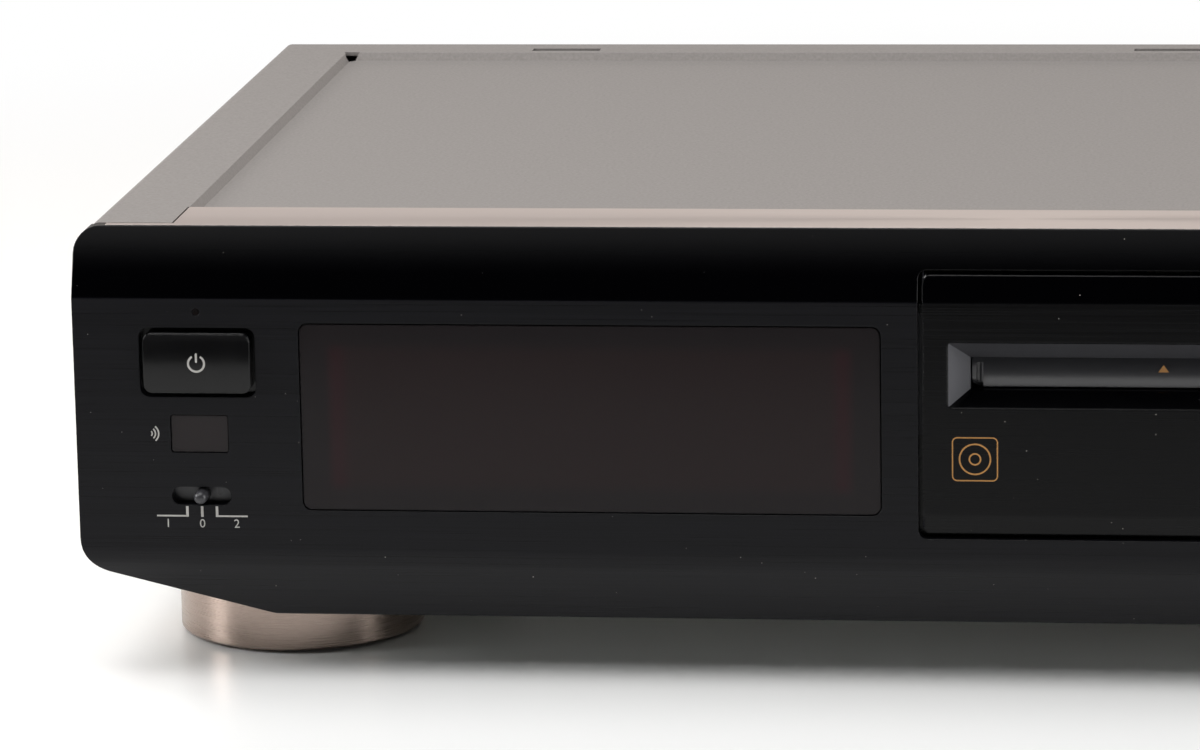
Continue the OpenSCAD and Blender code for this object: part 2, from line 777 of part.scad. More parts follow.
module centre_panel() {
    cheek = 2.6;
    room_top = hinge_z + flap_pin_r + 0.9;
    color(black) at_face() difference() {
        union() {
            intersection() {
                along_x(centre_x0, centre_x1) centre_side_view();
                along_y(-1, panel_wall + 6) centre_front_view(0);
            }
            along_y(panel_wall + 0.2, panel_wall + 1.6)
                plate2d(centre_x0 + centre_w / 2, (centre_low + face_high) / 2 - 1,
                    centre_w + 6, face_high - centre_low, 1);
            box(slot_x0 - cheek - taper_side, slot_x1 + cheek + taper_side, panel_wall, recess_d + 1,
                slot_z - taper_down - 1.4, slot_top + taper_up + 1.4);
            box(slot_x0 - cheek, slot_x1 + cheek, recess_d, housing_d, slot_z - 1.4, room_top + 1.2);
        }
        recess_space();
        box(slot_x0, slot_x1, recess_d - 1, recess_d + 1.2, slot_z, slot_top);
        box(slot_x0, slot_x1, recess_d + 1, housing_d + 1, slot_z, room_top);
        rod_along_x(hinge_y, hinge_z, flap_pin_r + bearing_gap, slot_x0 - 2.3, slot_x1 + 2.3);
        along_y(-1, panel_wall + 3) for (k = CENTRE_KEYS) plate2d(k[0], k[1], k[2], k[3], k[4]);
    }
}

module slot_flap() {
    low = slot_z + fit_gap;
    color("#2b2b2e") at_face() {
        difference() {
            intersection() {
                along_x(flap_x0, flap_x1)
                    polygon(rounded([[hinge_y - 1.1, hinge_z + 0.9], [hinge_y - 2.6, slot_top - 1.6],
                        [hinge_y - 2.6, low + 1.6], [hinge_y - 1.2, low], [hinge_y - 0.4, low],
                        [hinge_y - 0.8, slot_top - 2], [hinge_y + 1.1, hinge_z - 0.6],
                        [hinge_y + 1.1, hinge_z + 0.9]],
                        [0.6, 3, 2.2, 0.3, 0.3, 1.5, 0.5, 0.6], 6));
                along_y(0, housing_d)
                    translate([(flap_x0 + flap_x1) / 2, (low + hinge_z + 2) / 2])
                        polygon(rounded(rect(flap_x1 - flap_x0, hinge_z + 2 - low), [2, 2, 0.5, 0.5]));
            }
            for (x = [flap_x0 + 2.3, flap_x1 - 2.3])
                along_y(0, hinge_y - 1.6) plate2d(x, (slot_z + slot_top) / 2, 2.6, 4.4, 0.5);
        }
        for (x = [flap_x0 + 2.5, flap_x1 - 2.5])
            intersection() {
                translate([x, hinge_y - 1.5, slot_z]) cylinder(h = slot_h, r = 0.75);
                box(x - 1, x + 1, 0, hinge_y - 1, (slot_z + slot_top) / 2 - 2.3, (slot_z + slot_top) / 2 + 2.3);
            }
        rod_along_x(hinge_y, hinge_z, flap_pin_r, flap_x0 - 2.1, flap_x1 + 2.1);
    }
}

// ---------- keys and knobs ----------

module push_key(k) {
    color(key_black) at_face() {
        crowned_cap(k, fit_gap, key_out, 45);
        key_back(k, panel_wall + 0.1);
    }
}

// Retaining flange and plunger behind a key, from y on back
module key_back(k, y) {
    along_y(y, y + 1) plate2d(k[0], k[1], k[2] + 1.4, k[3] + 1.4, 0.8);
    rod_along_y(k[0], k[1], 1.6, y + 1, board_y - switch_d - key_travel - fit_gap);
}

module centre_key(k) {
    color(key_black) at_face() {
        intersection() {
            along_y(-key_out, panel_wall + 2.1) plate2d(k[0], k[1], k[2] - 2 * fit_gap, k[3] - 2 * fit_gap, k[4] - 0.2);
            rod_along_x(45 - key_out, k[1], 45, k[0] - k[2], k[0] + k[2], $fn = 180);
        }
        key_back(k, panel_wall + 2.1);
    }
}

module eject_button() { centre_key(eject); }
module display_key() { centre_key(show); }
module mode_key() { centre_key(mode); }
module menu_key() { centre_key(menu); }
module play_key() { push_key(play); }
module pause_key() { push_key(pause); }
module stop_key() { push_key(stop); }
module rewind_key() { push_key(rewind); }
module forward_key() { push_key(forward); }
module record_key() { push_key(record); }

// Round knob turned about Y at x, z: grip ribs, a chamfered front and a pointer groove
module knob(x, z, r, y0, y1, ribs, pointer) {
    translate([x, y1, z]) rotate([90, 0, 0]) difference() {
        intersection() {
            linear_extrude(y1 - y0)
                polygon([for (i = [0:ribs * 4 - 1]) let (a = 360 * i / (ribs * 4), q = i % 4 < 2 ? r : r - 0.35)
                    q * [cos(a), sin(a)]]);
            rotate_extrude($fn = 96) polygon([[0, 0], [r, 0], [r, y1 - y0 - 1.2], [r - 1, y1 - y0 - 0.3],
                [r - 1.8, y1 - y0], [0, y1 - y0]]);
        }
        if (pointer) box(-0.5, 0.5, r * 0.35, r + 1, y1 - y0 - 0.6, y1 - y0 + 1);
    }
}

module jog_shaft() {
    color(steel) at_face() rod_along_y(jog_x, jog_z, shaft_r, -jog_out + 2.4, board_y - 2.8);
}

module jog_dial() {
    y1 = -0.3 - jog_push;
    color("#303034") at_face() difference() {
        knob(jog_x, jog_z, jog_r, -jog_out, y1, 40, false);
        rod_along_y(jog_x, jog_z, shaft_r + bearing_gap, -jog_out + 2.3, 0);
        translate([jog_x, -jog_out - 5.4, jog_z + jog_r * 0.55]) sphere(r = 7);
    }
}

module turning_knob(x, r, ribs) {
    color("#303034") at_face() {
        knob(x, knob_z, r, -knob_out, -0.4, ribs, true);
        rod_along_y(x, knob_z, shaft_r, -1, board_y - 3);
    }
}

module level_knob() { turning_knob(jog_x, level_r, 30); }
module phones_knob() { turning_knob(phones_x, small_r, 18); }
module selector_knob() { turning_knob(selector_x, small_r, 18); }

module control_pots() {
    color("#77797c") at_face() for (p = [[jog_x, jog_z], [jog_x, knob_z], [phones_x, knob_z], [selector_x, knob_z]])
        difference() {
            union() {
                box(p[0] - 6, p[0] + 6, board_y - 5, board_y, p[1] - 6, p[1] + 6);
                rod_along_y(p[0], p[1], shaft_r + 1.4, panel_wall + 0.3, board_y - 4);
            }
            rod_along_y(p[0], p[1], shaft_r + bearing_gap, 0, board_y - 1.8);
        }
}

module phones_jack() {
    color("#3a3a3c") at_face() difference() {
        union() {
            rod_along_y(jack_x, knob_z, jack_r + 2, 0.2, panel_wall + 0.2);
            box(jack_x - 7, jack_x + 7, panel_wall + 0.2, 31, knob_z - 6, knob_z + 6);
        }
        rod_along_y(jack_x, knob_z, jack_r, 0, 29);
    }
}

// ---------- boards ----------

module tact_switch(x, z) {
    box(x - 3, x + 3, board_y - switch_d, board_y, z - 3, z + 3);
}

module display_board() {
    color(board_green) at_face() {
        box(left_boss_x - 3, mid_boss_x + 2, board_y, board_y + board_t, boss_low - 3, boss_high + 2);
        tact_switch(left_x, power_z);
        box(left_x - 5, left_x + 5, board_y - switch_d, board_y, sensor_z - 4, sensor_z + 4);
        box(left_x - 9, left_x + 9, board_y - switch_d, board_y, timer_z - 3.5, timer_z + 3.5);
    }
}

module key_board() {
    color(board_green) at_face() {
        difference() {
            union() {
                box(recess_x1 + 5, right_boss_x + 2, board_y, board_y + board_t, boss_low - 3, boss_high + 2);
                box(show[0] - 8, recess_x1 + 6, board_y, board_y + board_t, boss_low - 3, 58);
            }
            box(jack_x - 7.2, jack_x + 7.2, board_y - 1, board_y + board_t + 1, knob_z - 6.2, knob_z + 6.2);
        }
        for (k = FACE_KEYS) tact_switch(k[0], k[1]);
        for (k = CENTRE_KEYS) tact_switch(k[0], k[1]);
    }
}

module display_tube() {
    w = display_w - 14;
    h = display_h - 11;
    color("#31343a") at_face() {
        along_y(panel_wall + 2.4, board_y - 2) plate2d(display_x, display_z, w, h, 1);
        for (s = [-1, 1]) along_y(board_y - 2, board_y) plate2d(display_x, display_z + s * (h / 2 - 2), w - 10, 3, 0.5);
    }
}

module power_board() {
    color("#8a6a35") at_face() {
        box(left + 19, left + 135, 60, 160, board_z, board_top);
        box(left + 20, left + 40, 140, 152, board_top, board_top + 12);
        box(left + 60, left + 74, 70, 82, board_top, board_top + 9);
    }
}

module capacitors() {
    color("#20242e") at_face() for (c = [[60, 120, 9, 32], [82, 120, 9, 32], [100, 78, 5, 18], [114, 78, 5, 18]])
        translate([left + c[0], c[1], board_top]) {
            cylinder(h = c[3] - 0.8, r = c[2]);
            translate([0, 0, c[3] - 0.8]) cylinder(h = 0.8, r = c[2] - 0.8);
        }
}

module heat_sink() {
    color("#3b3b3d") at_face() translate([left + 92, 136, board_top]) linear_extrude(28) {
        square([34, 3]);
        for (i = [0:8]) translate([i * 4, 3]) square([1.6, 12]);
    }
}

module main_board() {
    x0 = half_w - 117;
    x1 = half_w - 19;
    color(board_green) at_face() {
        box(x0, x1, 60, rear_in - 9, board_z, board_top);
        box(half_w - 68, half_w - 32, 60, 66, board_top, board_top + 5.4);
        for (c = [[80, 110, 11], [52, 140, 8], [82, 160, 7], [50, 185, 9]])
            translate([half_w - c[0], c[1], board_top + 1]) cube([2 * c[2], 2 * c[2], 2], center = true);
        for (i = [0:5]) translate([half_w - 104 + i * 9, 210, board_top]) cylinder(h = 9, r = 3);
    }
}

module flat_cable() {
    z = board_top + 5.4;
    y = board_y + board_t;
    color("#c9c9cc") at_face() along_x(half_w - 65, half_w - 35)
        polygon(concat([[y, boss_low + 3], [y, z + 3]],
            corner([y, z + 3], [y, z], [y + 3, z], 1.5, 5), [[66, z], [66, z + 0.4]],
            corner([y + 3.4, z + 0.4], [y + 0.4, z + 0.4], [y + 0.4, z + 3], 1.1, 5),
            [[y + 0.4, boss_low + 3]]));
}

module transformer() {
    x = left + 85;
    y = case_depth - 62;
    color("#55504a") at_face() translate([x, y, floor_z]) {
        difference() {
            box(-40, 40, -26, 26, 0, 2);
            for (sx = [-1, 1], sy = [-1, 1]) translate([sx * 36, sy * 21, -1]) cylinder(h = 4, r = 2);
        }
        box(-30, 30, -13, 13, 2, 54);
        difference() {
            along_y(-24, 24) plate2d(0, 28, 42, 34, 5);
            box(-22, 22, -13, 13, 10, 46);
        }
    }
}

// ---------- loader and drive ----------

module mech_bracket() {
    x0 = slot_x - 56;
    x1 = slot_x + 56;
    y0 = carrier_y0 + 2;
    y1 = disc_y + 76;
    t = 1.6;
    color(steel) at_face() difference() {
        union() {
            box(x0, x1, y0, y1, bracket_z - t, bracket_z);
            for (x = [x0, x1 - t]) box(x, x + t, y0, y1, floor_z, bracket_z);
            box(x0 - 8, x0 + t, y0, y1, floor_z, floor_z + t);
            box(x1 - t, x1 + 8, y0, y1, floor_z, floor_z + t);
        }
        box(slot_x - 36, slot_x + 36, y0 + 16, y1 - 16, 0, bracket_z + 1);
        for (x = [x0 - t, x1 - 2 * t]) box(x, x + 3 * t, y0 + 20, y1 - 20, floor_z + 6, bracket_z - 8);
        damper_places() translate([0, 0, -5]) cylinder(h = 8, r = 2.6);
        for (x = [x0 - 4, x1 + 4], y = [y0 + 8, y1 - 8]) translate([x, y, floor_z - 1]) cylinder(h = 4, r = 1.8);
    }
}

module damper_places() {
    for (s = [-1, 1], y = [carrier_y0 + 10, disc_y + 66]) translate([slot_x + s * 46, y, bracket_z]) children();
}

module mech_dampers() {
    color("#2c2c30") at_face() damper_places() rotate_extrude()
        polygon([[1.2, 0], [5, 0], [5, damper_h * 0.3], [3.9, damper_h * 0.42], [3.9, damper_h * 0.58],
            [5, damper_h * 0.7], [5, damper_h], [1.2, damper_h]]);
}

module mech_base() {
    x0 = slot_x - 50;
    x1 = slot_x + 50;
    y1 = disc_y + 84;
    color("#a9acb0") at_face() difference() {
        union() {
            box(x0, x1, carrier_y0, y1, base_z, deck_z);
            for (s = [-1, 1]) translate([slot_x + s * (wall_x + wall_t / 2), 0, 0])
                box(-wall_t / 2, wall_t / 2, carrier_y0, disc_y + 40, base_z, carrier_z + carrier_h);
            box(slot_x + wall_x, slot_x + wall_x + wall_t, gear_y - 22, gear_y + 7, deck_z, gear_z + 6);
            motor_cheek();
            for (s = [-1, 1], y = [rod_y0 - 4, rod_y1]) translate([slot_x + s * rod_x, y, 0])
                box(-2.2, 2.2, 0, 4, deck_z, rod_z + 2.4);
            for (y = [screw_y0, rod_y1 - 2]) box(slot_x + screw_x - 3, slot_x + screw_x + 3, y, y + 2.4, deck_z, rod_z + 3.4);
        }
        damper_places() cylinder(h = 10, r = 1.4);
        for (s = [-1, 1], y = [pin_y0, pin_y1]) translate([slot_x + s * (wall_x + wall_t / 2), y, 0])
            box(-wall_t, wall_t, -pin_r - 0.15, pin_r + 0.15, pin_z - carrier_drop - pin_r - 0.3, carrier_z + carrier_h + 1);
        rod_along_x(gear_y, gear_z, 1.5 + bearing_gap, slot_x + wall_x - 1, slot_x + wall_x + wall_t + 1);
        rod_along_y(slot_x + screw_x, rod_z, 1 + bearing_gap, screw_y0 - 1, rod_y1 + 1);
        rod_along_x(pinion_y, gear_z, 2.6, slot_x + wall_x + wall_t + 1, slot_x + wall_x + wall_t + 9);
        box(slot_x - 16, slot_x + 16, disc_y + 14, rod_y1 - 8, base_z - 1, deck_z + 0.01);
    }
}

// Cheek that the loading motor is screwed to, outside the right wall
motor_x = wall_x + wall_t + 4;
module motor_cheek() {
    box(slot_x + motor_x, slot_x + motor_x + 1.5, pinion_y - 8, pinion_y + 8, base_z, gear_z + 8);
}

module loading_motor() {
    color("#8c8f94") at_face() {
        rod_along_x(pinion_y, gear_z, 7.5, slot_x + motor_x + 1.5, slot_x + motor_x + 17);
        rod_along_x(pinion_y, gear_z, 2, slot_x + motor_x + 17, slot_x + motor_x + 18.2);
    }
}

// Gear in the Y-Z plane with n straight-flanked teeth; phase is the angle of its first tooth
module gear2d(n, m, phase) {
    rp = m * n / 2;
    tip = rp + 0.85 * m;
    root = rp - 1.1 * m;
    half = 0.21 * PI * m;
    step = 360 / n;
    function at(r, w) = asin(w / r);
    polygon([for (i = [0:n - 1], p = [[root, -half - 0.34 * m], [tip, -half + 0.3 * m], [tip, half - 0.3 * m], [root, half + 0.34 * m]])
        let (a = phase + i * step + at(p[0], p[1])) p[0] * [cos(a), sin(a)]]);
}

module loading_gear() {
    inner = slot_x + slider_x;
    outer = slot_x + wall_x + wall_t + 0.4;
    color("#d9d6cc") at_face() {
        translate([0, gear_y, gear_z]) {
            along_x(inner, inner + slider_t) gear2d(gear_n, rack_m, -90);
            along_x(outer, outer + 2.4) gear2d(wheel_n, wheel_m, 180);
        }
        rod_along_x(gear_y, gear_z, 1.5, inner + slider_t - eps, outer + eps);
    }
}

module motor_pinion() {
    outer = slot_x + wall_x + wall_t + 0.4;
    color("#c8b46a") at_face() translate([0, pinion_y, gear_z]) {
        along_x(outer, outer + 2.4) gear2d(pinion_n, wheel_m, 180 / pinion_n);
        rod_along_x(0, 0, 1, outer + 2.4 - eps, slot_x + motor_x + 1.4);
    }
}

module disc_carrier() {
    z0 = carrier_z;
    z1 = carrier_z + carrier_h;
    color("#b3b6ba") at_face() {
        difference() {
            box(slot_x - carrier_half, slot_x + carrier_half, carrier_y0, carrier_y1, z0, z1);
            box(slot_x - carrier_w / 2, slot_x + carrier_w / 2, carrier_y0 - 1, carrier_y1 - carrier_t, z0 + carrier_t, z1 - carrier_t);
            box(slot_x - 13, slot_x + 13, disc_y - 14, disc_y + 34, z0 - 1, z0 + carrier_t + 1);
            box(slot_x - 9, slot_x + 9, disc_y + 4, carrier_y1 + 1, z1 - carrier_t - 1, z1 + 1);
            box(slot_x - 9, slot_x + 9, carrier_y1 - 2, carrier_y1 + 1, z1 - 4, z1 + 1);
            translate([0, 0, z1 - 3]) linear_extrude(6)
                polygon(rounded([[slot_x - 22, carrier_y0 - 1], [slot_x + 22, carrier_y0 - 1],
                    [slot_x + 16, carrier_y0 + 9], [slot_x - 16, carrier_y0 + 9]], [0, 0, 4, 4]));
        }
        for (s = [0, 1], y = [pin_y0, pin_y1]) translate([slot_x, 0, 0]) mirror([s, 0, 0])
            rod_along_x(y, pin_z, pin_r, carrier_half, wall_x + wall_t);
    }
}

// Slot that a pin follows as the slider moves back by cam_travel and the pin sinks
module cam_track(y) {
    w = pin_r + 0.15;
    slant = atan2(carrier_drop, cam_travel);
    upper = [y, pin_z];
    lower = [y - cam_travel, pin_z - carrier_drop];
    polygon([for (i = [0:21]) let (a = slant - 90 + 18 * (i > 10 ? i - 1 : i))
        (i > 10 ? lower : upper) + w * [cos(a), sin(a)]]);
}

module cam_slider() {
    y0 = pin_y0 - cam_travel - 4;
    y1 = gear_y + 8;
    z0 = deck_z + 0.3;
    root_z = rack_z - 1.1 * rack_m;
    pitch = PI * rack_m;
    half = 0.21 * pitch;
    color("#cfcabd") at_face() {
        for (s = [-1, 1]) along_x(slot_x + s * (slider_x + slider_t / 2) - slider_t / 2,
                slot_x + s * (slider_x + slider_t / 2) + slider_t / 2) difference() {
            translate([y0, z0]) square([y1 - y0, root_z - z0]);
            cam_track(pin_y0);
            cam_track(pin_y1);
            translate([(y0 + y1) / 2, z0 + 5]) square([40, 6], center = true);
        }
        along_x(slot_x + slider_x, slot_x + slider_x + slider_t)
            for (i = [-6:0]) translate([gear_y + (i + 0.5) * pitch, root_z])
                polygon([[-half - 0.4 * rack_m, -0.3], [half + 0.4 * rack_m, -0.3],
                    [half - 0.3 * rack_m, 1.9 * rack_m], [-half + 0.3 * rack_m, 1.9 * rack_m]]);
        box(slot_x - slider_x - 0.3, slot_x + slider_x + 0.3, y0 + 3, y0 + 8, z0, z0 + 2);
    }
}

module spindle_motor() {
    color("#7d8086") at_face() translate([slot_x, disc_y, deck_z]) difference() {
        cylinder(h = 5, r = 12);
        translate([0, 0, 1]) cylinder(h = 6, r = 1 + bearing_gap);
    }
}

module turntable() {
    color("#d5d7da") at_face() translate([slot_x, disc_y, deck_z]) {
        translate([0, 0, 1.2]) cylinder(h = 5, r = 1);
        translate([0, 0, 5.4]) cylinder(h = 1.6, r = 9);
        translate([0, 0, 7]) cylinder(h = 4, r = 5);
        translate([0, 0, 11]) cylinder(h = 1, r = 1.6);
    }
}

module guide_rods() {
    color("#d5d7da") at_face() for (s = [-1, 1]) rod_along_y(slot_x + s * rod_x, rod_z, rod_r, rod_y0, rod_y1);
}

module sled_motor() {
    y = rod_y1 + 0.4;
    color("#8c8f94") at_face() {
        rod_along_y(slot_x + screw_x, rod_z + 1.5, 5.5, y, y + 14);
        box(slot_x + screw_x - 4, slot_x + screw_x + 4, y, y + 14, deck_z, deck_z + 2);
    }
}

module lead_screw() {
    thread_y = screw_y0 + 2.7;
    turns = floor((rod_y1 - 3 - thread_y) / screw_pitch);
    color("#c9ccd0") at_face() {
        rod_along_y(slot_x + screw_x, rod_z, 1, screw_y0, rod_y1 + 0.4);
        difference() {
            rod_along_y(slot_x + screw_x, rod_z, 2, thread_y, rod_y1 - 2.3);
            for (i = [0:turns - 1]) translate([slot_x + screw_x, thread_y + (i + 0.5) * screw_pitch, rod_z]) rotate([-90, 0, 0])
                rotate_extrude() translate([1.9, 0]) polygon([[0.2, -0.7], [0.2, 0.7], [-0.4, 0.1], [-0.4, -0.1]]);
        }
    }
}

module optical_sled() {
    y0 = disc_y + 7;
    y1 = y0 + 18;
    color("#50535a") at_face() {
        difference() {
            union() {
                box(slot_x - 15, slot_x + 15, y0 + 6, y1, rod_z - 3, rod_z + 4);
                rod_along_y(slot_x - rod_x, rod_z, 3.4, y0, y1);
                box(slot_x - rod_x, slot_x - 14, y0, y1, rod_z - 3, rod_z + 3);
                box(slot_x + 14, slot_x + rod_x + 2, y0 + 8, y1 - 4, rod_z - 2.8, rod_z + 2.8);
                box(slot_x + rod_x, slot_x + screw_x + 1, y0 + 9, y0 + 13, rod_z + 2.3, rod_z + 3.4);
                box(slot_x - 8, slot_x + 8, y1 - 1, arm_y + 4, rod_z - 3, rod_z + 1);
                for (s = [-1, 1]) translate([slot_x + s * 6.7, 0, 0])
                    box(-1.3, 1.3, arm_y - 3, arm_y + 4, rod_z - 3, arm_z + 2.4);
            }
            rod_along_y(slot_x - rod_x, rod_z, rod_r + bearing_gap, y0 - 1, y1 + 1);
            box(slot_x + rod_x - rod_r - 0.1, slot_x + rod_x + 3, y0, y1, rod_z - rod_r - 0.1, rod_z + rod_r + 0.1);
            rod_along_x(arm_y, arm_z, 1 + bearing_gap, slot_x - 9, slot_x + 9);
        }
        translate([slot_x, y0 + 13, rod_z + 4]) {
            cylinder(h = 0.8, r = 4);
            cylinder(h = 1.4, r = 2.4);
        }
    }
}

module head_arm() {
    color("#c2b9a2") at_face() {
        box(slot_x - 4, slot_x + 4, disc_y + 18, arm_y - 1, arm_z - 0.6, arm_z + 0.6);
        rod_along_x(arm_y, arm_z, 2, slot_x - 5, slot_x + 5);
        rod_along_x(arm_y, arm_z, 1, slot_x - 7.9, slot_x + 7.9);
        box(slot_x - 3, slot_x + 3, disc_y + 14, disc_y + 22, arm_z - 2.4, arm_z - 0.6);
    }
}

bottom_chassis();
rear_panel();
top_cover();
cover_screws();
front_panel();
top_trim();
centre_panel();
display_window();
sensor_window();
standby_lamp();
feet();
foot_pads();
foot_screws();
transformer();
power_board();
capacitors();
heat_sink();
main_board();
display_board();
display_tube();
key_board();
control_pots();
phones_jack();
line_sockets();
optical_sockets();
mains_inlet();
flat_cable();
mech_bracket();
mech_dampers();
mech_base();
spindle_motor();
guide_rods();
sled_motor();
loading_motor();
power_button();
timer_knob();
slot_flap();
eject_button();
play_key();
pause_key();
stop_key();
rewind_key();
forward_key();
record_key();
display_key();
mode_key();
menu_key();
jog_shaft();
jog_dial();
level_knob();
phones_knob();
selector_knob();
disc_carrier();
cam_slider();
loading_gear();
motor_pinion();
optical_sled();
lead_screw();
head_arm();
turntable();
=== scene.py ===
"""Dresses a full-width minidisc deck: its finishes, printed marks, fittings and studio.

The CAD nodes keep their shapes. This file gives each one a finish, adds the pieces that are
too fine for the source, and sets the floor, the lamps and the camera. Lengths are in metres;
sizes written in millimetres are multiplied by MM.
"""

import logging
import math
from dataclasses import dataclass, field
from enum import Enum

import bpy
import numpy as np
from mathutils import Matrix, Vector


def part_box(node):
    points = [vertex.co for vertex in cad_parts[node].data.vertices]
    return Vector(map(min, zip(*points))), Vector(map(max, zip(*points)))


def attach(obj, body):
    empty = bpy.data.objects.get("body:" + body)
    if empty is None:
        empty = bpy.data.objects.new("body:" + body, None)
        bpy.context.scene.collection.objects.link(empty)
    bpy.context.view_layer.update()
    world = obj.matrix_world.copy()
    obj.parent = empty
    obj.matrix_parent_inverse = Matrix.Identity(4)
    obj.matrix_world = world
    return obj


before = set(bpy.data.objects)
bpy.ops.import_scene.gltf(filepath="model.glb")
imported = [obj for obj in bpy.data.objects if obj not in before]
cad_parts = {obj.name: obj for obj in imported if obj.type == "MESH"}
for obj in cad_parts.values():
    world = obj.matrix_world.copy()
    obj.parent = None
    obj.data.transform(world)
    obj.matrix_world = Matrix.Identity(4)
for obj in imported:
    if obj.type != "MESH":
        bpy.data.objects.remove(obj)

Value = float | bpy.types.NodeSocket
Colour = tuple[float, float, float, float]

MM = 0.001
INK = 0.05 * MM
PHOTO_SIZE = (1200, 750)
# The flat of the front face, from which the sizes across and up the face are measured.
FACE_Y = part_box("front_panel")[0].y

log = logging.getLogger("deck")


# ---------- colours and node trees ----------


def linear(code: str) -> Colour:
    """Turns an sRGB colour to the linear one that Blender works in.

    Args:
        code: The colour as hash and six hex digits.

    Returns:
        Red, green, blue and an alpha of one.
    """
    srgb = np.array([int(code[i:i + 2], 16) for i in (1, 3, 5)]) / 255
    rgb = np.where(srgb <= 0.04045, srgb / 12.92, ((srgb + 0.055) / 1.055) ** 2.4)
    return (*(float(v) for v in rgb), 1.0)


def tinted(colour: str, factor: float) -> Colour:
    """A colour made brighter or darker by a factor, up to full white."""
    return (*(min(1.0, factor * v) for v in linear(colour)[:3]), 1.0)


class Nodes:
    """A node tree that is being built."""

    def __init__(self, tree: bpy.types.NodeTree) -> None:
        """Keeps the tree.

        Args:
            tree: The node tree of a material or of the world.
        """
        self.tree = tree

    def add(self, kind: str, inputs: dict | None = None, **settings: object) -> bpy.types.Node:
        """Adds a node with its settings and its links.

        Args:
            kind: Type of the node, without the words ShaderNode.
            inputs: Value or output socket for each input, by its name or number.
            **settings: Values for the node's own properties.

        Returns:
            The new node.
        """
        node = self.tree.nodes.new("ShaderNode" + kind)
        for key, value in settings.items():
            setattr(node, key, value)
        self.join(node, inputs or {})
        return node

    def join(self, node: bpy.types.Node, inputs: dict) -> None:
        """Gives a node its inputs.

        Args:
            node: The node.
            inputs: Value or output socket for each input, by its name or number.
        """
        for key, value in inputs.items():
            if isinstance(value, bpy.types.NodeSocket):
                self.tree.links.new(value, node.inputs[key])
            else:
                node.inputs[key].default_value = value

    def math(self, operation: str, *values: Value) -> bpy.types.NodeSocket:
        """Adds a Math node on one or two values and gives its result."""
        return self.add("Math", dict(enumerate(values)), operation=operation).outputs[0]

    def apart(self, value: Value, middle: float) -> bpy.types.NodeSocket:
        """How far a value is from a middle one, on either side."""
        return self.math("ABSOLUTE", self.math("SUBTRACT", value, middle))

    def blend(self, factor: Value, low: Value | Colour, high: Value | Colour) -> bpy.types.NodeSocket:
        """Mixes two colours: the low one at nought, the high one at one."""
        return self.add("Mix", {0: factor, 6: low, 7: high}, data_type="RGBA").outputs[2]

    def between(self, factor: Value, low: Value, high: Value) -> bpy.types.NodeSocket:
        """Mixes two numbers: the low one at nought, the high one at one."""
        return self.add("Mix", {0: factor, 2: low, 3: high}).outputs[0]

    def ramp(self, value: Value, start: float, end: float, low: float = 0.0, high: float = 1.0,
             smooth: bool = False) -> bpy.types.NodeSocket:
        """Maps a value from one range to another and holds it at the ends.

        Args:
            value: The value.
            start: Value that gives the low result.
            end: Value that gives the high result.
            low: Result at the start.
            high: Result at the end.
            smooth: Whether it eases in and out.

        Returns:
            The mapped value.
        """
        return self.add("MapRange", {"Value": value, "From Min": start, "From Max": end,
                                     "To Min": low, "To Max": high},
                        interpolation_type="SMOOTHSTEP" if smooth else "LINEAR").outputs[0]


class Tree(Nodes):
    """The node tree of one material while its finish is built."""

    def __init__(self, name: str, edge: float = 0.0) -> None:
        """Starts a material with its shader and the object's own coordinates.

        Args:
            name: Name of the material.
            edge: Radius to which the light finds the edges worn, in metres.
        """
        self.material = bpy.data.materials.new(name)
        self.material.use_nodes = True
        super().__init__(self.material.node_tree)
        self.shader = self.tree.nodes["Principled BSDF"]
        self.place = self.add("TexCoord").outputs["Object"]
        self.worn = {"Normal": self.add("Bevel", {"Radius": edge}, samples=4).outputs[0]} if edge else {}

    def axes(self) -> bpy.types.bpy_prop_collection:
        """The object's own X, Y and Z."""
        return self.add("SeparateXYZ", {"Vector": self.place}).outputs

    def spread(self, x_mm: float, y_mm: float, z_mm: float) -> bpy.types.NodeSocket:
        """The place, scaled so that one feature of a pattern has these lengths in millimetres."""
        scale = (1000 / x_mm, 1000 / y_mm, 1000 / z_mm)
        return self.add("Mapping", {"Vector": self.place, "Scale": scale}).outputs[0]

    def noise(self, vector: Value, scale: float = 1.0, detail: float = 2.0) -> bpy.types.NodeSocket:
        """Soft noise from nought to one."""
        return self.add("TexNoise", {"Vector": vector, "Scale": scale, "Detail": detail}).outputs["Fac"]

    def bump(self, height: Value, strength: float, depth: float) -> bpy.types.NodeSocket:
        """A normal tilted by a height, on top of the worn edges."""
        return self.add("Bump", {"Height": height, "Strength": strength, "Distance": depth,
                                 **self.worn}).outputs[0]


# ---------- finishes ----------


@dataclass(frozen=True)
class Finish:
    """A finish with the values that hold all over the surface."""

    name: str
    colour: str
    roughness: float
    metallic: float = 0.0
    specular: float = 0.5
    edge_mm: float = 0.0

    def build(self) -> bpy.types.Material:
        """Makes the material and lets the finish add its pattern.

        Returns:
            The new material.
        """
        tree = Tree(self.name, self.edge_mm * MM)
        tree.join(tree.shader, {
            "Base Color": linear(self.colour),
            "Roughness": self.roughness,
            "Metallic": self.metallic,
        })
        if not self.metallic:
            tree.shader.inputs["Specular IOR Level"].default_value = self.specular
        self.pattern(tree)
        tree.material.diffuse_color = linear(self.colour)
        return tree.material

    def pattern(self, tree: Tree) -> None:
        """Adds what varies over the surface; a plain finish adds nothing."""


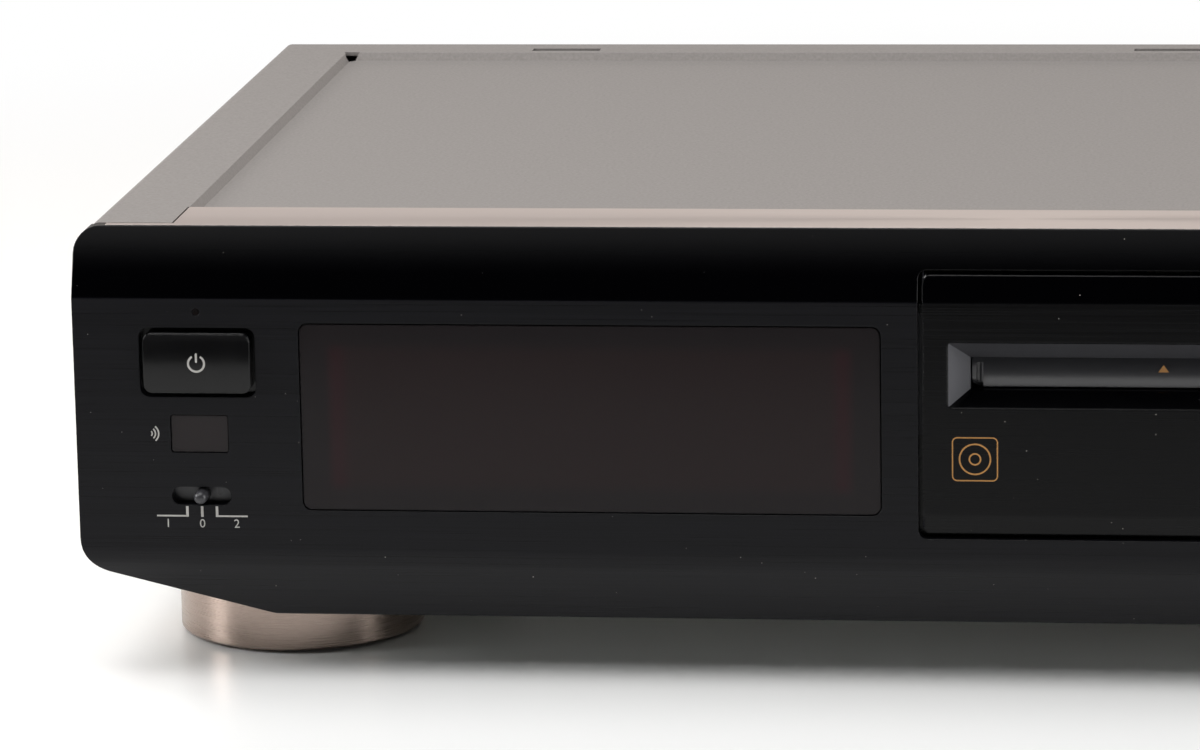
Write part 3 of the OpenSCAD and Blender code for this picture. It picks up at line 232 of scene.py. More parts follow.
@dataclass(frozen=True)
class Moulded(Finish):
    """Injection-moulded ABS. The tool's grain gives a soft sheen with a faint mottle."""

    grain_mm: float = 0.25
    depth_mm: float = 0.012
    mottle: float = 0.12
    dust: float = 0.0
    dust_cell_mm: float = 2.4
    dust_radius_mm: float = 0.15
    dust_colour: str = "#c4c0ba"

    def mottled(self, tree: Tree, value: Value, start: float, end: float) -> bpy.types.NodeSocket:
        """The roughness, which varies by the mottle as a value goes from a start to an end."""
        swing = self.mottle / 2
        return tree.ramp(value, start, end, self.roughness - swing, self.roughness + swing)

    def pattern(self, tree: Tree) -> None:
        """Adds the grain, its mottle in the gloss, and the dust that settles on it."""
        grain = tree.noise(tree.spread(self.grain_mm, self.grain_mm, self.grain_mm))
        cloud = tree.noise(tree.place, 90.0, 3.0)
        shade = tree.blend(cloud, linear(self.colour), tinted(self.colour, 1.25))
        tree.join(tree.shader, {"Base Color": self.dusted(tree, shade),
                                "Roughness": self.mottled(tree, cloud, 0.3, 0.7),
                                "Normal": tree.bump(grain, 0.5, self.depth_mm * MM)})

    def dusted(self, tree: Tree, shade: bpy.types.NodeSocket) -> bpy.types.NodeSocket:
        """Lays pale specks of dust, of varied size and strength, over a colour.

        Args:
            tree: The material's tree.
            shade: The colour under the dust.

        Returns:
            The colour with its dust.
        """
        if not self.dust:
            return shade
        cells = tree.add("TexVoronoi", {"Vector": tree.place, "Scale": 1000 / self.dust_cell_mm})
        chance = tree.add("SeparateColor", {0: cells.outputs["Color"]})
        size = tree.ramp(chance.outputs[0], 0.6, 1.0, 0.0, self.dust_radius_mm / self.dust_cell_mm)
        specks = tree.math("LESS_THAN", cells.outputs["Distance"], size)
        mask = tree.math("MULTIPLY", tree.math("MULTIPLY", specks, chance.outputs[1]), self.dust)
        return tree.blend(mask, shade, linear(self.dust_colour))


@dataclass(frozen=True)
class Hairline(Moulded):
    """Satin ABS whose skin carries fine lines along its length, so its sheen runs in streaks.

    The leaning facet above the crease is polished: it goes from mirror black at the crease
    to a greyer black at its top edge, a painted reflection of the rounded top edge.
    """

    line_mm: float = 0.26
    run_mm: tuple[float, float] = (60.0, 2.0)
    crease_z: float = 90 * MM
    top_z: float = 105.8 * MM
    facet_colour: str = "#010102"
    facet_roughness: float = 0.12
    # The greyer black at the facet's top edge: a painted reflection of the rounded top edge.
    painted_rim_reflection_colour: str = "#121213"
    rim_roughness: float = 0.4
    recess_colour: str = ""
    # The end walls, which face the sides, are painted paler: a painted highlight.
    painted_end_highlight_colour: str = "#5c5c60"
    recess_roughness: float = 0.4
    recess_z: float = 73 * MM
    recess_half: float = 14 * MM
    recess_depth: float = 0.35 * MM

    def pattern(self, tree: Tree) -> None:
        """Adds the lines, the polished facet with its painted reflection, and the dust."""
        lines = tree.noise(tree.spread(*self.run_mm, self.line_mm), detail=1.0)
        height = tree.axes()["Z"]
        facet = tree.ramp(height, self.crease_z - 0.1 * MM, self.crease_z + 0.3 * MM)
        # Ramp up to the top edge: it carries the painted reflection in the colour, and the duller gloss there.
        rise = tree.ramp(height, self.crease_z + 5 * MM, self.top_z, smooth=True)
        flat = tree.blend(tree.ramp(lines, 0.35, 0.65), tinted(self.colour, 0.85), tinted(self.colour, 1.45))
        facet_with_painted_reflection = tree.blend(rise, linear(self.facet_colour), linear(self.painted_rim_reflection_colour))
        shade = tree.blend(facet, flat, facet_with_painted_reflection)
        gloss = tree.between(rise, self.facet_roughness, self.rim_roughness)
        rough = tree.between(facet, self.mottled(tree, lines, 0.25, 0.75), gloss)
        if self.recess_colour:
            shade, rough = self.recess(tree, shade, rough)
        tree.join(tree.shader, {"Base Color": self.dusted(tree, shade), "Roughness": rough,
                                "Normal": tree.bump(lines, 0.35, self.depth_mm * MM)})

    def recess(self, tree: Tree, shade: bpy.types.NodeSocket,
               rough: bpy.types.NodeSocket) -> tuple[bpy.types.NodeSocket, bpy.types.NodeSocket]:
        """Gives the walls behind the face a greyer satin, with painted shade on the glossy ledge that faces up
        and a painted highlight on the end walls.

        Args:
            tree: The material's tree.
            shade: Colour of the face.
            rough: Roughness of the face.

        Returns:
            The colour and the roughness with the recess in them.
        """
        place = tree.axes()
        behind = tree.math("GREATER_THAN", place["Y"], FACE_Y + self.recess_depth)
        level = tree.math("LESS_THAN", tree.apart(place["Z"], self.recess_z), self.recess_half)
        deep = tree.math("MULTIPLY", behind, level)
        facing = tree.add("SeparateXYZ", {"Vector": tree.add("NewGeometry").outputs["True Normal"]}).outputs
        # Painted shade: the ledge that faces up takes the facet's black. Painted highlight: the end walls take
        # the paler grey.
        shaded_ledge = tree.math("GREATER_THAN", facing["Z"], 0.3)
        end = tree.math("GREATER_THAN", tree.math("ABSOLUTE", facing["X"]), 0.3)
        grey = tree.blend(end, linear(self.recess_colour), linear(self.painted_end_highlight_colour))
        walls = tree.blend(shaded_ledge, grey, linear(self.facet_colour))
        satin = tree.between(shaded_ledge, self.recess_roughness, self.facet_roughness)
        return tree.blend(deep, shade, walls), tree.between(deep, rough, satin)


class Brushing(Enum):
    """Direction in which a metal was brushed or turned, as feature lengths in millimetres."""

    ALONG_X = (40.0, 0.22, 0.22)
    ALONG_Y = (0.22, 40.0, 0.22)
    TURNED = (14.0, 14.0, 0.16)
    ROLLED = (6.0, 6.0, 6.0)


@dataclass(frozen=True)
class BrushedMetal(Finish):
    """Brushed metal: fine parallel scratches that draw a reflection out across them."""

    brushing: Brushing = Brushing.ALONG_X
    depth_mm: float = 0.01
    streak: float = 0.22
    anisotropy: float = 0.4

    def pattern(self, tree: Tree) -> None:
        """Adds the scratches, and streaks in colour and gloss."""
        scratch = tree.noise(tree.spread(*self.brushing.value), detail=4.0)
        tree.join(tree.shader, {
            "Base Color": tree.blend(scratch, tinted(self.colour, 1 - self.streak),
                                     tinted(self.colour, 1 + self.streak)),
            "Roughness": tree.ramp(scratch, 0.3, 0.7, self.roughness - 0.06, self.roughness + 0.08),
            "Normal": tree.bump(scratch, 0.4, self.depth_mm * MM), "Anisotropic": self.anisotropy})


@dataclass(frozen=True)
class TexturedPaint(Finish):
    """Baked textured paint on steel: a fine orange-peel grain that scatters the light."""

    grain_mm: float = 0.55
    depth_mm: float = 0.06
    fleck: float = 0.22

    def pattern(self, tree: Tree) -> None:
        """Adds the grain of the paint and the flecks between its crests."""
        spread = tree.spread(self.grain_mm, self.grain_mm, self.grain_mm)
        cells = tree.add("TexVoronoi", {"Vector": spread, "Scale": 1.0},
                         feature="SMOOTH_F1").outputs["Distance"]
        noise = tree.noise(spread, 0.7, 4.0)
        grain = tree.math("MULTIPLY", cells, noise)
        shade = tree.blend(noise, tinted(self.colour, 1 - self.fleck), tinted(self.colour, 1 + self.fleck))
        tree.join(tree.shader, {"Base Color": shade, "Normal": tree.bump(grain, 0.6, self.depth_mm * MM)})


@dataclass(frozen=True)
class ZincPlate(Finish):
    """Zinc-plated steel sheet: cool grey with a faint cloudy bloom and rolling lines."""

    bloom_colour: str = "#c9ccc6"
    rolled_mm: tuple[float, float, float] = (0.4, 30.0, 0.4)

    def pattern(self, tree: Tree) -> None:
        """Adds the bloom and the rolling lines."""
        bloom = tree.noise(tree.place, 70.0, 4.0)
        lines = tree.noise(tree.spread(*self.rolled_mm))
        tree.join(tree.shader, {
            "Base Color": tree.blend(bloom, linear(self.colour), linear(self.bloom_colour)),
            "Roughness": tree.ramp(bloom, 0.3, 0.7, self.roughness - 0.03, self.roughness + 0.04),
            "Normal": tree.bump(lines, 0.3, 0.01 * MM)})


@dataclass(frozen=True)
class SmokedAcrylic(Finish):
    """Smoked acrylic: a deep brown-black gloss that lets a little of the inside through.

    Where there is a display behind it, the inner field is redder, and at each end of the field
    a redder band is painted: a painted highlight on the edges of the display's glass.
    """

    centre: tuple[float, float] = (0.0, 0.0)
    half: tuple[float, float] = (0.0, 0.0)
    soft: float = 1.2 * MM
    transmission: float = 0.25
    inner_colour: str = "#241a1b"
    # The redder bands at the ends of the field: a painted highlight on the display glass's edges.
    painted_edge_highlight_colour: str = "#2e161b"

    def pattern(self, tree: Tree) -> None:
        """Adds the red field, the painted highlight at its two ends, and a faint wave in the moulded surface.
        """
        wave = tree.noise(tree.place, 25.0, 1.0)
        tree.join(tree.shader, {"Normal": tree.bump(wave, 0.2, 0.05 * MM),
                                "Transmission Weight": self.transmission, "IOR": 1.49})
        if not self.half[0]:
            return
        place = tree.axes()
        offs = [tree.apart(place[axis], middle) for axis, middle in zip("XZ", self.centre)]
        inside = [tree.ramp(off, edge - self.soft, edge + self.soft, 1.0, 0.0)
                  for off, edge in zip(offs, self.half)]
        inner = tree.math("MULTIPLY", *inside)
        field_shade = tree.blend(inner, linear(self.colour), linear(self.inner_colour))
        # A redder band at each end of the field: a painted highlight on the edges of the display's glass.
        end = tree.ramp(offs[0], self.half[0] - 5 * MM, self.half[0] - 1.5 * MM, 0.0, 0.8, smooth=True)
        painted_edge_highlight = tree.math("MULTIPLY", end, inner)
        tree.join(tree.shader, {"Base Color": tree.blend(painted_edge_highlight, field_shade, linear(self.painted_edge_highlight_colour))})


@dataclass(frozen=True)
class Laminate(Finish):
    """Glass-fibre or paper board under solder resist: copper tracks show as paler lines."""

    track_mm: float = 3.2
    solder_colour: str = "#b9bcb8"

    def pattern(self, tree: Tree) -> None:
        """Adds the tracks and the solder points between them."""
        spread = tree.spread(self.track_mm, self.track_mm, self.track_mm)
        cells = tree.add("TexVoronoi", {"Vector": spread, "Scale": 1.0},
                         distance="MANHATTAN", feature="F1").outputs["Distance"]
        tracks = tree.math("GREATER_THAN", tree.math("FRACT", tree.math("MULTIPLY", cells, 3.0)), 0.62)
        pads = tree.math("LESS_THAN", cells, 0.09)
        resist = tree.blend(tracks, linear(self.colour), tinted(self.colour, 1.7))
        tree.join(tree.shader, {"Base Color": tree.blend(pads, resist, linear(self.solder_colour)),
                                "Normal": tree.bump(tracks, 0.3, 0.035 * MM)})


@dataclass(frozen=True)
class IronStack(Finish):
    """Varnished iron laminations round a coil under yellow tape."""

    middle: tuple[float, float, float] = (0.0, 0.0, 0.0)
    core_half_y: float = 13.2 * MM
    sheet_mm: float = 0.5
    edge_colour: str = "#6a625a"
    tape_colour: str = "#b98a2c"

    def pattern(self, tree: Tree) -> None:
        """Adds the laminations, and the taped coil that stands out of the stack."""
        place = tree.axes()
        layer = tree.math("FRACT", tree.math("MULTIPLY", place["Y"], 1000 / self.sheet_mm))
        above = tree.math("GREATER_THAN", place["Z"], self.middle[2] + 2.5 * MM)
        out = tree.math("GREATER_THAN", tree.apart(place["Y"], self.middle[1]), self.core_half_y)
        iron = tree.blend(layer, linear(self.colour), linear(self.edge_colour))
        coil = tree.math("MULTIPLY", out, above)
        tree.join(tree.shader, {"Base Color": tree.blend(coil, iron, linear(self.tape_colour)),
                                "Normal": tree.bump(layer, 0.5, 0.08 * MM)})


@dataclass(frozen=True)
class RibbedFilm(Finish):
    """Flat flexible cable: polyester film over parallel tinned strips."""

    pitch_mm: float = 1.25
    strip_colour: str = "#8f9092"

    def pattern(self, tree: Tree) -> None:
        """Adds the strips under the film."""
        strip = tree.math("PINGPONG", tree.math("MULTIPLY", tree.axes()["X"], 1000 / self.pitch_mm))
        shade = tree.blend(strip, linear(self.colour), linear(self.strip_colour))
        tree.join(tree.shader, {"Base Color": shade, "Normal": tree.bump(strip, 0.5, 0.05 * MM)})


# ---------- shapes ----------


@dataclass
class Solid:
    """Vertices and faces, worked out before they go into a mesh."""

    points: np.ndarray
    faces: list[tuple[int, ...]]

    def turned(self, centre: tuple[float, float], degrees: float) -> "Solid":
        """Turns the solid about an axis along Y, clockwise as the face is seen.

        Args:
            centre: X and Z of the axis.
            degrees: The angle.

        Returns:
            The turned solid.
        """
        a = math.radians(degrees)
        x, z = self.points[:, 0] - centre[0], self.points[:, 2] - centre[1]
        moved = np.stack([centre[0] + x * math.cos(a) + z * math.sin(a), self.points[:, 1],
                          centre[1] - x * math.sin(a) + z * math.cos(a)], axis=1)
        return Solid(moved, self.faces)


def joined(solids: list[Solid]) -> Solid:
    """Puts several solids in one.

    Args:
        solids: The solids.

    Returns:
        One solid with all their faces.
    """
    starts = np.cumsum([0] + [len(s.points) for s in solids[:-1]])
    faces = [tuple(int(start) + i for i in face) for start, s in zip(starts, solids) for face in s.faces]
    return Solid(np.concatenate([s.points for s in solids]), faces)


def extruded(front: np.ndarray, back: np.ndarray) -> Solid:
    """Closes the space between two rows of as many points.

    Args:
        front: Points of the first row.
        back: Points of the last row.

    Returns:
        The closed solid.
    """
    n = len(front)
    i, j = np.arange(n), (np.arange(n) + 1) % n
    sides = np.column_stack([i, i + n, j + n, j]).tolist()
    ends = [tuple(range(n)), tuple(range(2 * n - 1, n - 1, -1))]
    return Solid(np.concatenate([front, back]), ends + [tuple(s) for s in sides])


def prism(outline: np.ndarray, y0: float, y1: float) -> Solid:
    """Carries an outline in X and Z straight back along Y: each point p gives (p, y0) and (p, y1).

    Args:
        outline: Points in metres, anticlockwise as the face is seen.
        y0: Front of the prism.
        y1: Back of the prism.

    Returns:
        The closed prism.
    """
    return extruded(*(np.column_stack([outline[:, 0], np.full(len(outline), y), outline[:, 1]])
                      for y in (y0, y1)))


def carried(profile: np.ndarray, x0: float, x1: float) -> Solid:
    """Carries a closed profile in Y and Z along X: each point p gives (x0, p) and (x1, p).

    Args:
        profile: Y and Z of each point, clockwise as seen from +X.
        x0: Left end.
        x1: Right end.

    Returns:
        The closed bar.
    """
    return extruded(*(np.column_stack([np.full(len(profile), x), profile]) for x in (x0, x1)))


def lathe(profile: np.ndarray, x: float, z: float, steps: int = 64) -> Solid:
    """Turns a profile about an axis along Y: (r, y) goes to (x + r cos t, y, z + r sin t).

    Args:
        profile: Radius and Y of each point of a closed profile.
        x: X of the axis.
        z: Z of the axis.
        steps: Points round the circle.

    Returns:
        The closed ring.
    """
    t = np.linspace(0, 2 * np.pi, steps, endpoint=False)
    r, y = profile[:, 0][:, None], profile[:, 1][:, None]
    grid = np.stack([x + r * np.cos(t), y + 0 * t, z + r * np.sin(t)], axis=-1)
    k = len(profile)
    row, col = np.meshgrid(np.arange(k), np.arange(steps), indexing="ij")
    nxt, turn = (row + 1) % k, (col + 1) % steps
    quads = np.stack([row * steps + col, row * steps + turn, nxt * steps + turn, nxt * steps + col], axis=-1)
    return Solid(grid.reshape(-1, 3), [tuple(q) for q in quads.reshape(-1, 4).tolist()])


def rounded_box(width: float, height: float, radius: float, steps: int = 6) -> np.ndarray:
    """Outline of a rectangle about the origin whose corners are quarter circles.

    Args:
        width: Width.
        height: Height.
        radius: Radius of the corners.
        steps: Points to each corner.

    Returns:
        The outline's points.
    """
    t = np.linspace(0, np.pi / 2, steps)
    quarter = radius * np.column_stack([np.cos(t), np.sin(t)])
    middle = np.array([width / 2 - radius, height / 2 - radius])
    turns = [(quarter @ np.array([[c, s], [-s, c]])) + middle * sign
             for c, s, sign in ((1, 0, (1, 1)), (0, 1, (-1, 1)), (-1, 0, (-1, -1)), (0, -1, (1, -1)))]
    return np.concatenate(turns)


def band(radius: float, width: float, start: float, end: float, steps: int = 32) -> np.ndarray:
    """Outline of part of a ring about the origin, between two angles in degrees.

    Args:
        radius: Radius of the middle of the ring.
        width: Width of the ring.
        start: First angle.
        end: Last angle.
        steps: Points to each edge.

    Returns:
        The outline's points.
    """
    t = np.radians(np.linspace(start, end, steps))
    ring = np.column_stack([np.cos(t), np.sin(t)])
    return np.concatenate([(radius + width / 2) * ring, (radius - width / 2) * ring[::-1]])


def ring(loops: list[tuple[np.ndarray, np.ndarray | float]]) -> Solid:
    """A closed ring through loops of as many points: each loop gives X and Z, and a Y for them.

    Args:
        loops: X and Z of each loop's points, and their Y, in the order round the ring's section.

    Returns:
        The closed ring.
    """
    n, k = len(loops[0][0]), len(loops)
    points = np.concatenate([np.column_stack([o[:, 0], np.full(n, y) + 0 * y, o[:, 1]]) for o, y in loops])
    i = np.arange(n)
    j = (i + 1) % n
    quads = [np.column_stack([a * n + i, b * n + i, b * n + j, a * n + j])
             for a, b in zip(range(k), [*range(1, k), 0])]
    return Solid(points, [tuple(q) for q in np.concatenate(quads).tolist()])


def arris(width: float, height: float, radius: float, x: float, z: float, y: float, cut: float,
          crown: float = 0.0) -> Solid:
    """The polished arris round a rounded plate: a strip that slants from its front to its side.

    Args:
        width: Width of the plate.
        height: Height of the plate.
        radius: Radius of its corners.
        x: X of its middle.
        z: Z of its middle.
        y: Y of its front at mid height.
        cut: Width of the strip as the face is seen.
        crown: Radius to which the front is domed about X, or nothing for a flat front.

    Returns:
        The closed ring.
    """
    proud = 0.02 * MM
    outer = rounded_box(width + proud, height + proud, radius)
    inner = rounded_box(width - 2 * cut, height - 2 * cut, max(radius - cut, 0.05 * MM))
    fall = [crown - np.sqrt(crown ** 2 - o[:, 1] ** 2) if crown else 0 * o[:, 1] for o in (outer, inner)]
    return ring([(outer + [x, z], y + fall[0] + cut), (inner + [x, z], y + fall[1] + cut),
                 (inner + [x, z], y + fall[1] - proud)])


class Mark(Enum):
    """Generic control marks, each a list of outlines in a square one unit across."""

    PLAY = "play"
    PAUSE = "pause"
    STOP = "stop"
    REWIND = "rewind"
    FORWARD = "forward"
    RECORD = "record"
    EJECT = "eject"
    STANDBY = "standby"
    PHONES = "phones"
    INSERT = "insert"
    DISC = "disc"
    RECEIVER = "receiver"

    def outlines(self) -> list[np.ndarray]:
        """The mark's outlines, anticlockwise as the face is seen.

        Returns:
            One array of points for each separate shape.
        """
        wedge = np.array([[-0.5, -0.5], [0.5, 0.0], [-0.5, 0.5]])
        half = wedge * [0.5, 0.7]
        bar = rounded_box(0.24, 0.9, 0.02, 2)
        shapes = {
            Mark.PLAY: [wedge * 0.9],
            Mark.PAUSE: [bar - [0.26, 0], bar + [0.26, 0]],
            Mark.STOP: [rounded_box(0.8, 0.8, 0.02, 2)],
            Mark.REWIND: [(half * [-1, 1])[::-1] - [0.26, 0], (half * [-1, 1])[::-1] + [0.26, 0]],
            Mark.FORWARD: [half - [0.26, 0], half + [0.26, 0]],
            Mark.RECORD: [rounded_box(0.8, 0.8, 0.4, 9)],
            Mark.EJECT: [np.array([[-0.5, -0.1], [0.5, -0.1], [0, 0.5]]),
                         rounded_box(1, 0.2, 0.02, 2) - [0, 0.38]],
            Mark.STANDBY: [band(0.42, 0.11, 120, 420), rounded_box(0.11, 0.5, 0.05, 4) + [0, 0.3]],
            Mark.PHONES: [band(0.4, 0.1, 0, 180, 20), rounded_box(0.2, 0.42, 0.08, 4) + [-0.36, -0.18],
                          rounded_box(0.2, 0.42, 0.08, 4) + [0.36, -0.18]],
            Mark.INSERT: [np.array([[-0.5, -0.3], [0.5, -0.3], [0, 0.4]])],
            Mark.DISC: [band(0.47, 0.05, 0, 360, 49), band(0.17, 0.05, 0, 360, 33)],
            Mark.RECEIVER: [band(0.2, 0.1, -50, 50, 12) - [0.2, 0], band(0.42, 0.1, -50, 50, 14) - [0.2, 0],
                            band(0.64, 0.1, -50, 50, 16) - [0.2, 0]],
        }
        return shapes[self]


def inked(outline: np.ndarray, y: float = FACE_Y, thick: float = INK) -> Solid:
    """Prints an outline on a surface that faces the front; half of the ink is sunk."""
    return prism(outline, y - thick / 2, y + thick / 2)


def printed(mark: Mark, x: float, z: float, size: float, y: float = FACE_Y,
            thick: float = INK) -> Solid:
    """A mark printed on a surface that faces the front.

    Args:
        mark: Which mark.
        x: X of its middle.
        z: Z of its middle.
        size: Size of its square.
        y: Y of the surface under it.
        thick: Thickness of the ink, half of it sunk.

    Returns:
        The mark's solids in one.
    """
    return joined([inked(o * size + [x, z], y, thick) for o in mark.outlines()])


def figure(number: str, x: float, z: float, height: float, y: float = FACE_Y,
           thick: float = INK) -> Solid:
    """A plain number printed on a surface that faces the front.

    Args:
        number: The digits.
        x: X of the middle of the number.
        z: Z of its foot.
        height: Height of a digit.
        y: Y of the surface under it.
        thick: Thickness of the ink, half of it sunk.

    Returns:
        The number as a solid.
    """
    curve = bpy.data.curves.new("figure", "FONT")
    curve.body, curve.align_x = number, "CENTER"
    curve.size, curve.extrude, curve.resolution_u = height / 0.7, thick / 2, 3
    holder = bpy.data.objects.new("figure", curve)
    bpy.context.scene.collection.objects.link(holder)
    bpy.context.view_layer.update()
    mesh = bpy.data.meshes.new_from_object(holder.evaluated_get(bpy.context.evaluated_depsgraph_get()))
    flat = np.empty(len(mesh.vertices) * 3)
    mesh.vertices.foreach_get("co", flat)
    flat = flat.reshape(-1, 3)
    faces = [tuple(p.vertices) for p in mesh.polygons]
    bpy.data.objects.remove(holder)
    return Solid(np.column_stack([flat[:, 0] + x, y - flat[:, 2], flat[:, 1] + z]), faces)


def middle(node: str) -> tuple[float, float]:
    """Finds the middle of a node as the face is seen.

    Args:
        node: Name of the node.

    Returns:
        X and Z of the middle of its box.
    """
    low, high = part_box(node)
    return (low.x + high.x) / 2, (low.z + high.z) / 2


def piece(name: str, solid: Solid, material: bpy.types.Material, body: str) -> None:
    """Puts a solid into the scene as a piece that rides on a body.

    Args:
        name: Name of the piece.
        solid: Its vertices and faces.
        material: Its finish.
        body: The CAD body it rides on.
    """
    mesh = bpy.data.meshes.new(name)
    mesh.from_pydata(solid.points.tolist(), [], solid.faces)
    mesh.validate()
    mesh.update()
    mesh.polygons.foreach_set("use_smooth", np.zeros(len(mesh.polygons), bool))
    mesh.materials.append(material)
    obj = bpy.data.objects.new(name, mesh)
    bpy.context.scene.collection.objects.link(obj)
    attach(obj, body)
    log.info("piece %s on %s: %d faces", name, body, len(mesh.polygons))


# ---------- sub-assemblies ----------


def coat(users: dict[Finish, list[str]]) -> dict[Finish, bpy.types.Material]:
    """Builds finishes and gives them to CAD nodes.

    Args:
        users: The nodes that each finish goes on.

    Returns:
        The material of each finish.
    """
    made = {finish: finish.build() for finish in users}
    for finish, nodes in users.items():
        for node in nodes:
            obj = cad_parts[node]
            obj.data.materials.clear()
            obj.data.materials.append(made[finish])
            log.info("node %s: %s", node, made[finish].name)
    return made


@dataclass
class Case:
    """Front moulding, cover, chassis, trim, feet and back."""

    face: Finish = Hairline("hairline_abs", "#0d0d10", 0.3, specular=0.18, mottle=0.07, dust=1.0,
                            edge_mm=0.35)
    centre: Finish = Hairline("gloss_centre_abs", "#060607", 0.24, specular=0.16, dust=0.8, depth_mm=0.004,
                              edge_mm=0.4, recess_colour="#38383b")
    trim: Finish = BrushedMetal("champagne_anodised_aluminium", "#bdb2ae", 0.34, 1.0, edge_mm=0.2)
    cover: Finish = TexturedPaint("taupe_textured_paint", "#8c8784", 0.7, specular=0.3)
    chassis: Finish = ZincPlate("zinc_plated_steel", "#aeb2b4", 0.34, 1.0)
    screw: Finish = BrushedMetal("black_plated_steel", "#1b1b1c", 0.36, 1.0, brushing=Brushing.ROLLED)
    foot: Finish = BrushedMetal("champagne_foot_aluminium", "#a8978d", 0.26, 1.0, brushing=Brushing.TURNED)
    pad: Finish = Moulded("rubber_pad", "#1f1f20", 0.85, grain_mm=0.6, depth_mm=0.05, specular=0.3)

    def dress(self) -> None:
        """Gives the case's nodes their finishes."""
        coat({self.face: ["front_panel"], self.centre: ["centre_panel"], self.trim: ["top_trim"],
              self.cover: ["top_cover", "rear_panel"], self.chassis: ["bottom_chassis", "foot_screws"],
              self.screw: ["cover_screws"], self.foot: ["feet"], self.pad: ["foot_pads", "mech_dampers"]})


@dataclass
class FrontControls:
    """Windows, keys, knobs and the marks printed beside them."""

    centre_left: float = -21.1 * MM
    slot_top: float = 76.6 * MM
    key_gloss: Finish = Moulded("gloss_key_abs", "#0a0a0b", 0.16, specular=0.3, grain_mm=1.5, depth_mm=0.002,
                                 mottle=0.05, edge_mm=0.35)
    slider: Finish = Moulded("slide_switch_abs", "#343437", 0.3, edge_mm=0.5)
    # A black paler than the mouldings it edges: a painted highlight on the real chamfer strips.
    polished: Finish = Finish("polished_abs_edge_painted_highlight", "#1c1c1f", 0.14)
    key_satin: Finish = Moulded("satin_key_abs", "#1c1c1e", 0.42, edge_mm=0.3)
    flap: Finish = Moulded("flap_abs", "#2c2c2f", 0.3, mottle=0.03, specular=0.9, edge_mm=0.3)
    knob: Finish = Moulded("knob_abs", "#242427", 0.36, edge_mm=0.3)
    display: Finish = SmokedAcrylic("smoked_display_acrylic", "#1d181a", 0.2, specular=0.12,
                                    edge_mm=0.3, centre=(-96.6 * MM, 62.6 * MM), half=(59.2 * MM, 16.3 * MM))
    sensor: Finish = SmokedAcrylic("smoked_sensor_acrylic", "#1c1416", 0.06, specular=0.2, edge_mm=0.3)
    lamp: Finish = SmokedAcrylic("red_lamp_lens", "#120505", 0.12, transmission=0.3)
    ink: Finish = Moulded("pale_grey_ink", "#a9a7a3", 0.6, grain_mm=0.3, depth_mm=0.002)
    gold: Finish = Moulded("gold_ink", "#a8783f", 0.5, grain_mm=0.3, depth_mm=0.002)
    keys: dict[str, Mark] = field(default_factory=lambda: {
        "play_key": Mark.PLAY, "pause_key": Mark.PAUSE, "stop_key": Mark.STOP,
        "rewind_key": Mark.REWIND, "forward_key": Mark.FORWARD, "record_key": Mark.RECORD,
        "eject_button": Mark.EJECT})

    def dress(self) -> None:
        """Gives the nodes their finishes and prints the marks."""
        made = coat({
            self.key_gloss: ["power_button"], self.slider: ["timer_knob"], self.flap: ["slot_flap"],
            self.display: ["display_window"], self.sensor: ["sensor_window"], self.lamp: ["standby_lamp"],
            self.key_satin: [*self.keys, "display_key", "mode_key", "menu_key"],
            self.knob: ["jog_dial", "level_knob", "phones_knob", "selector_knob"]})
        ink = self.ink.build()
        self.polish_edges()
        self.print_left(ink)
        self.print_keys(ink)
        self.print_scales(ink)
        self.print_slot(self.gold.build(), self.swell_flap(made[self.flap]))

    def polish_edges(self) -> None:
        """Gives the windows, the power key and the centre panel the bright arris of a polished edge: a real
        chamfer strip whose black is paler than theirs, a painted highlight.
        """
        arris_with_painted_highlight = self.polished.build()
        for name, node, (width, height, corner), cut, crown, body, slot in (
                ("window_edge", "display_window", (132, 43.2, 2), 0.22, 0, "deck", "smoked_window"),
                ("sensor_edge", "sensor_window", (12.5, 8, 0.6), 0.15, 0, "deck", "smoked_window"),
                ("power_edge", "power_button", (24.6, 13.9, 1.9), 0.28, 70, "power_button", "key_gloss")):
            x, z = middle(node)
            strip = arris(width * MM, height * MM, corner * MM, x, z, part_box(node)[0].y, cut * MM, crown * MM)
            piece(name, strip, arris_with_painted_highlight, body)
        left, cut = self.centre_left, 0.35 * MM
        path = np.array([[FACE_Y, 38 * MM], [FACE_Y, 89.9 * MM], [FACE_Y + 5.5 * MM, 104.6 * MM]])
        y, z = path[:, 0], path[:, 1]
        section = [(left + cut, -0.02 * MM), (left, cut), (left + cut, cut)]
        rows = [np.column_stack([np.full(3, sx), y + dy, z]) for sx, dy in section]
        quads = [(a * 3 + k, b * 3 + k, b * 3 + k + 1, a * 3 + k + 1)
                 for a, b in ((0, 1), (1, 2), (2, 0)) for k in range(2)]
        piece("centre_edge", Solid(np.concatenate(rows), quads + [(0, 6, 3), (2, 5, 8)]), arris_with_painted_highlight, "deck")

    def print_left(self, ink: bpy.types.Material) -> None:
        """Prints the marks round the power button, the sensor and the timer switch."""
        x, z = middle("power_button")
        piece("power_mark", printed(Mark.STANDBY, x, z, 4.4 * MM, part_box("power_button")[0].y),
              ink, "power_button")
        stems = [inked(rounded_box(0.6 * MM, 2.5 * MM, 0.05 * MM, 2) + [x + dx * MM, 40.25 * MM])
                 for dx in (-3.45, 0, 3.45)]
        arms = [inked(rounded_box(6.9 * MM, 0.38 * MM, 0.05 * MM, 2) + [x + dx * MM, 39.2 * MM])
                for dx in (-7.1, 7.1)]
        digits = [figure(n, x + dx * MM, 36.5 * MM, 2.0 * MM) for n, dx in (("1", -8), ("0", 0), ("2", 8))]
        piece("timer_marks", joined(stems + arms + digits), ink, "deck")
        x, z = middle("sensor_window")
        piece("sensor_mark", printed(Mark.RECEIVER, x - 11 * MM, z, 3.4 * MM), ink, "deck")

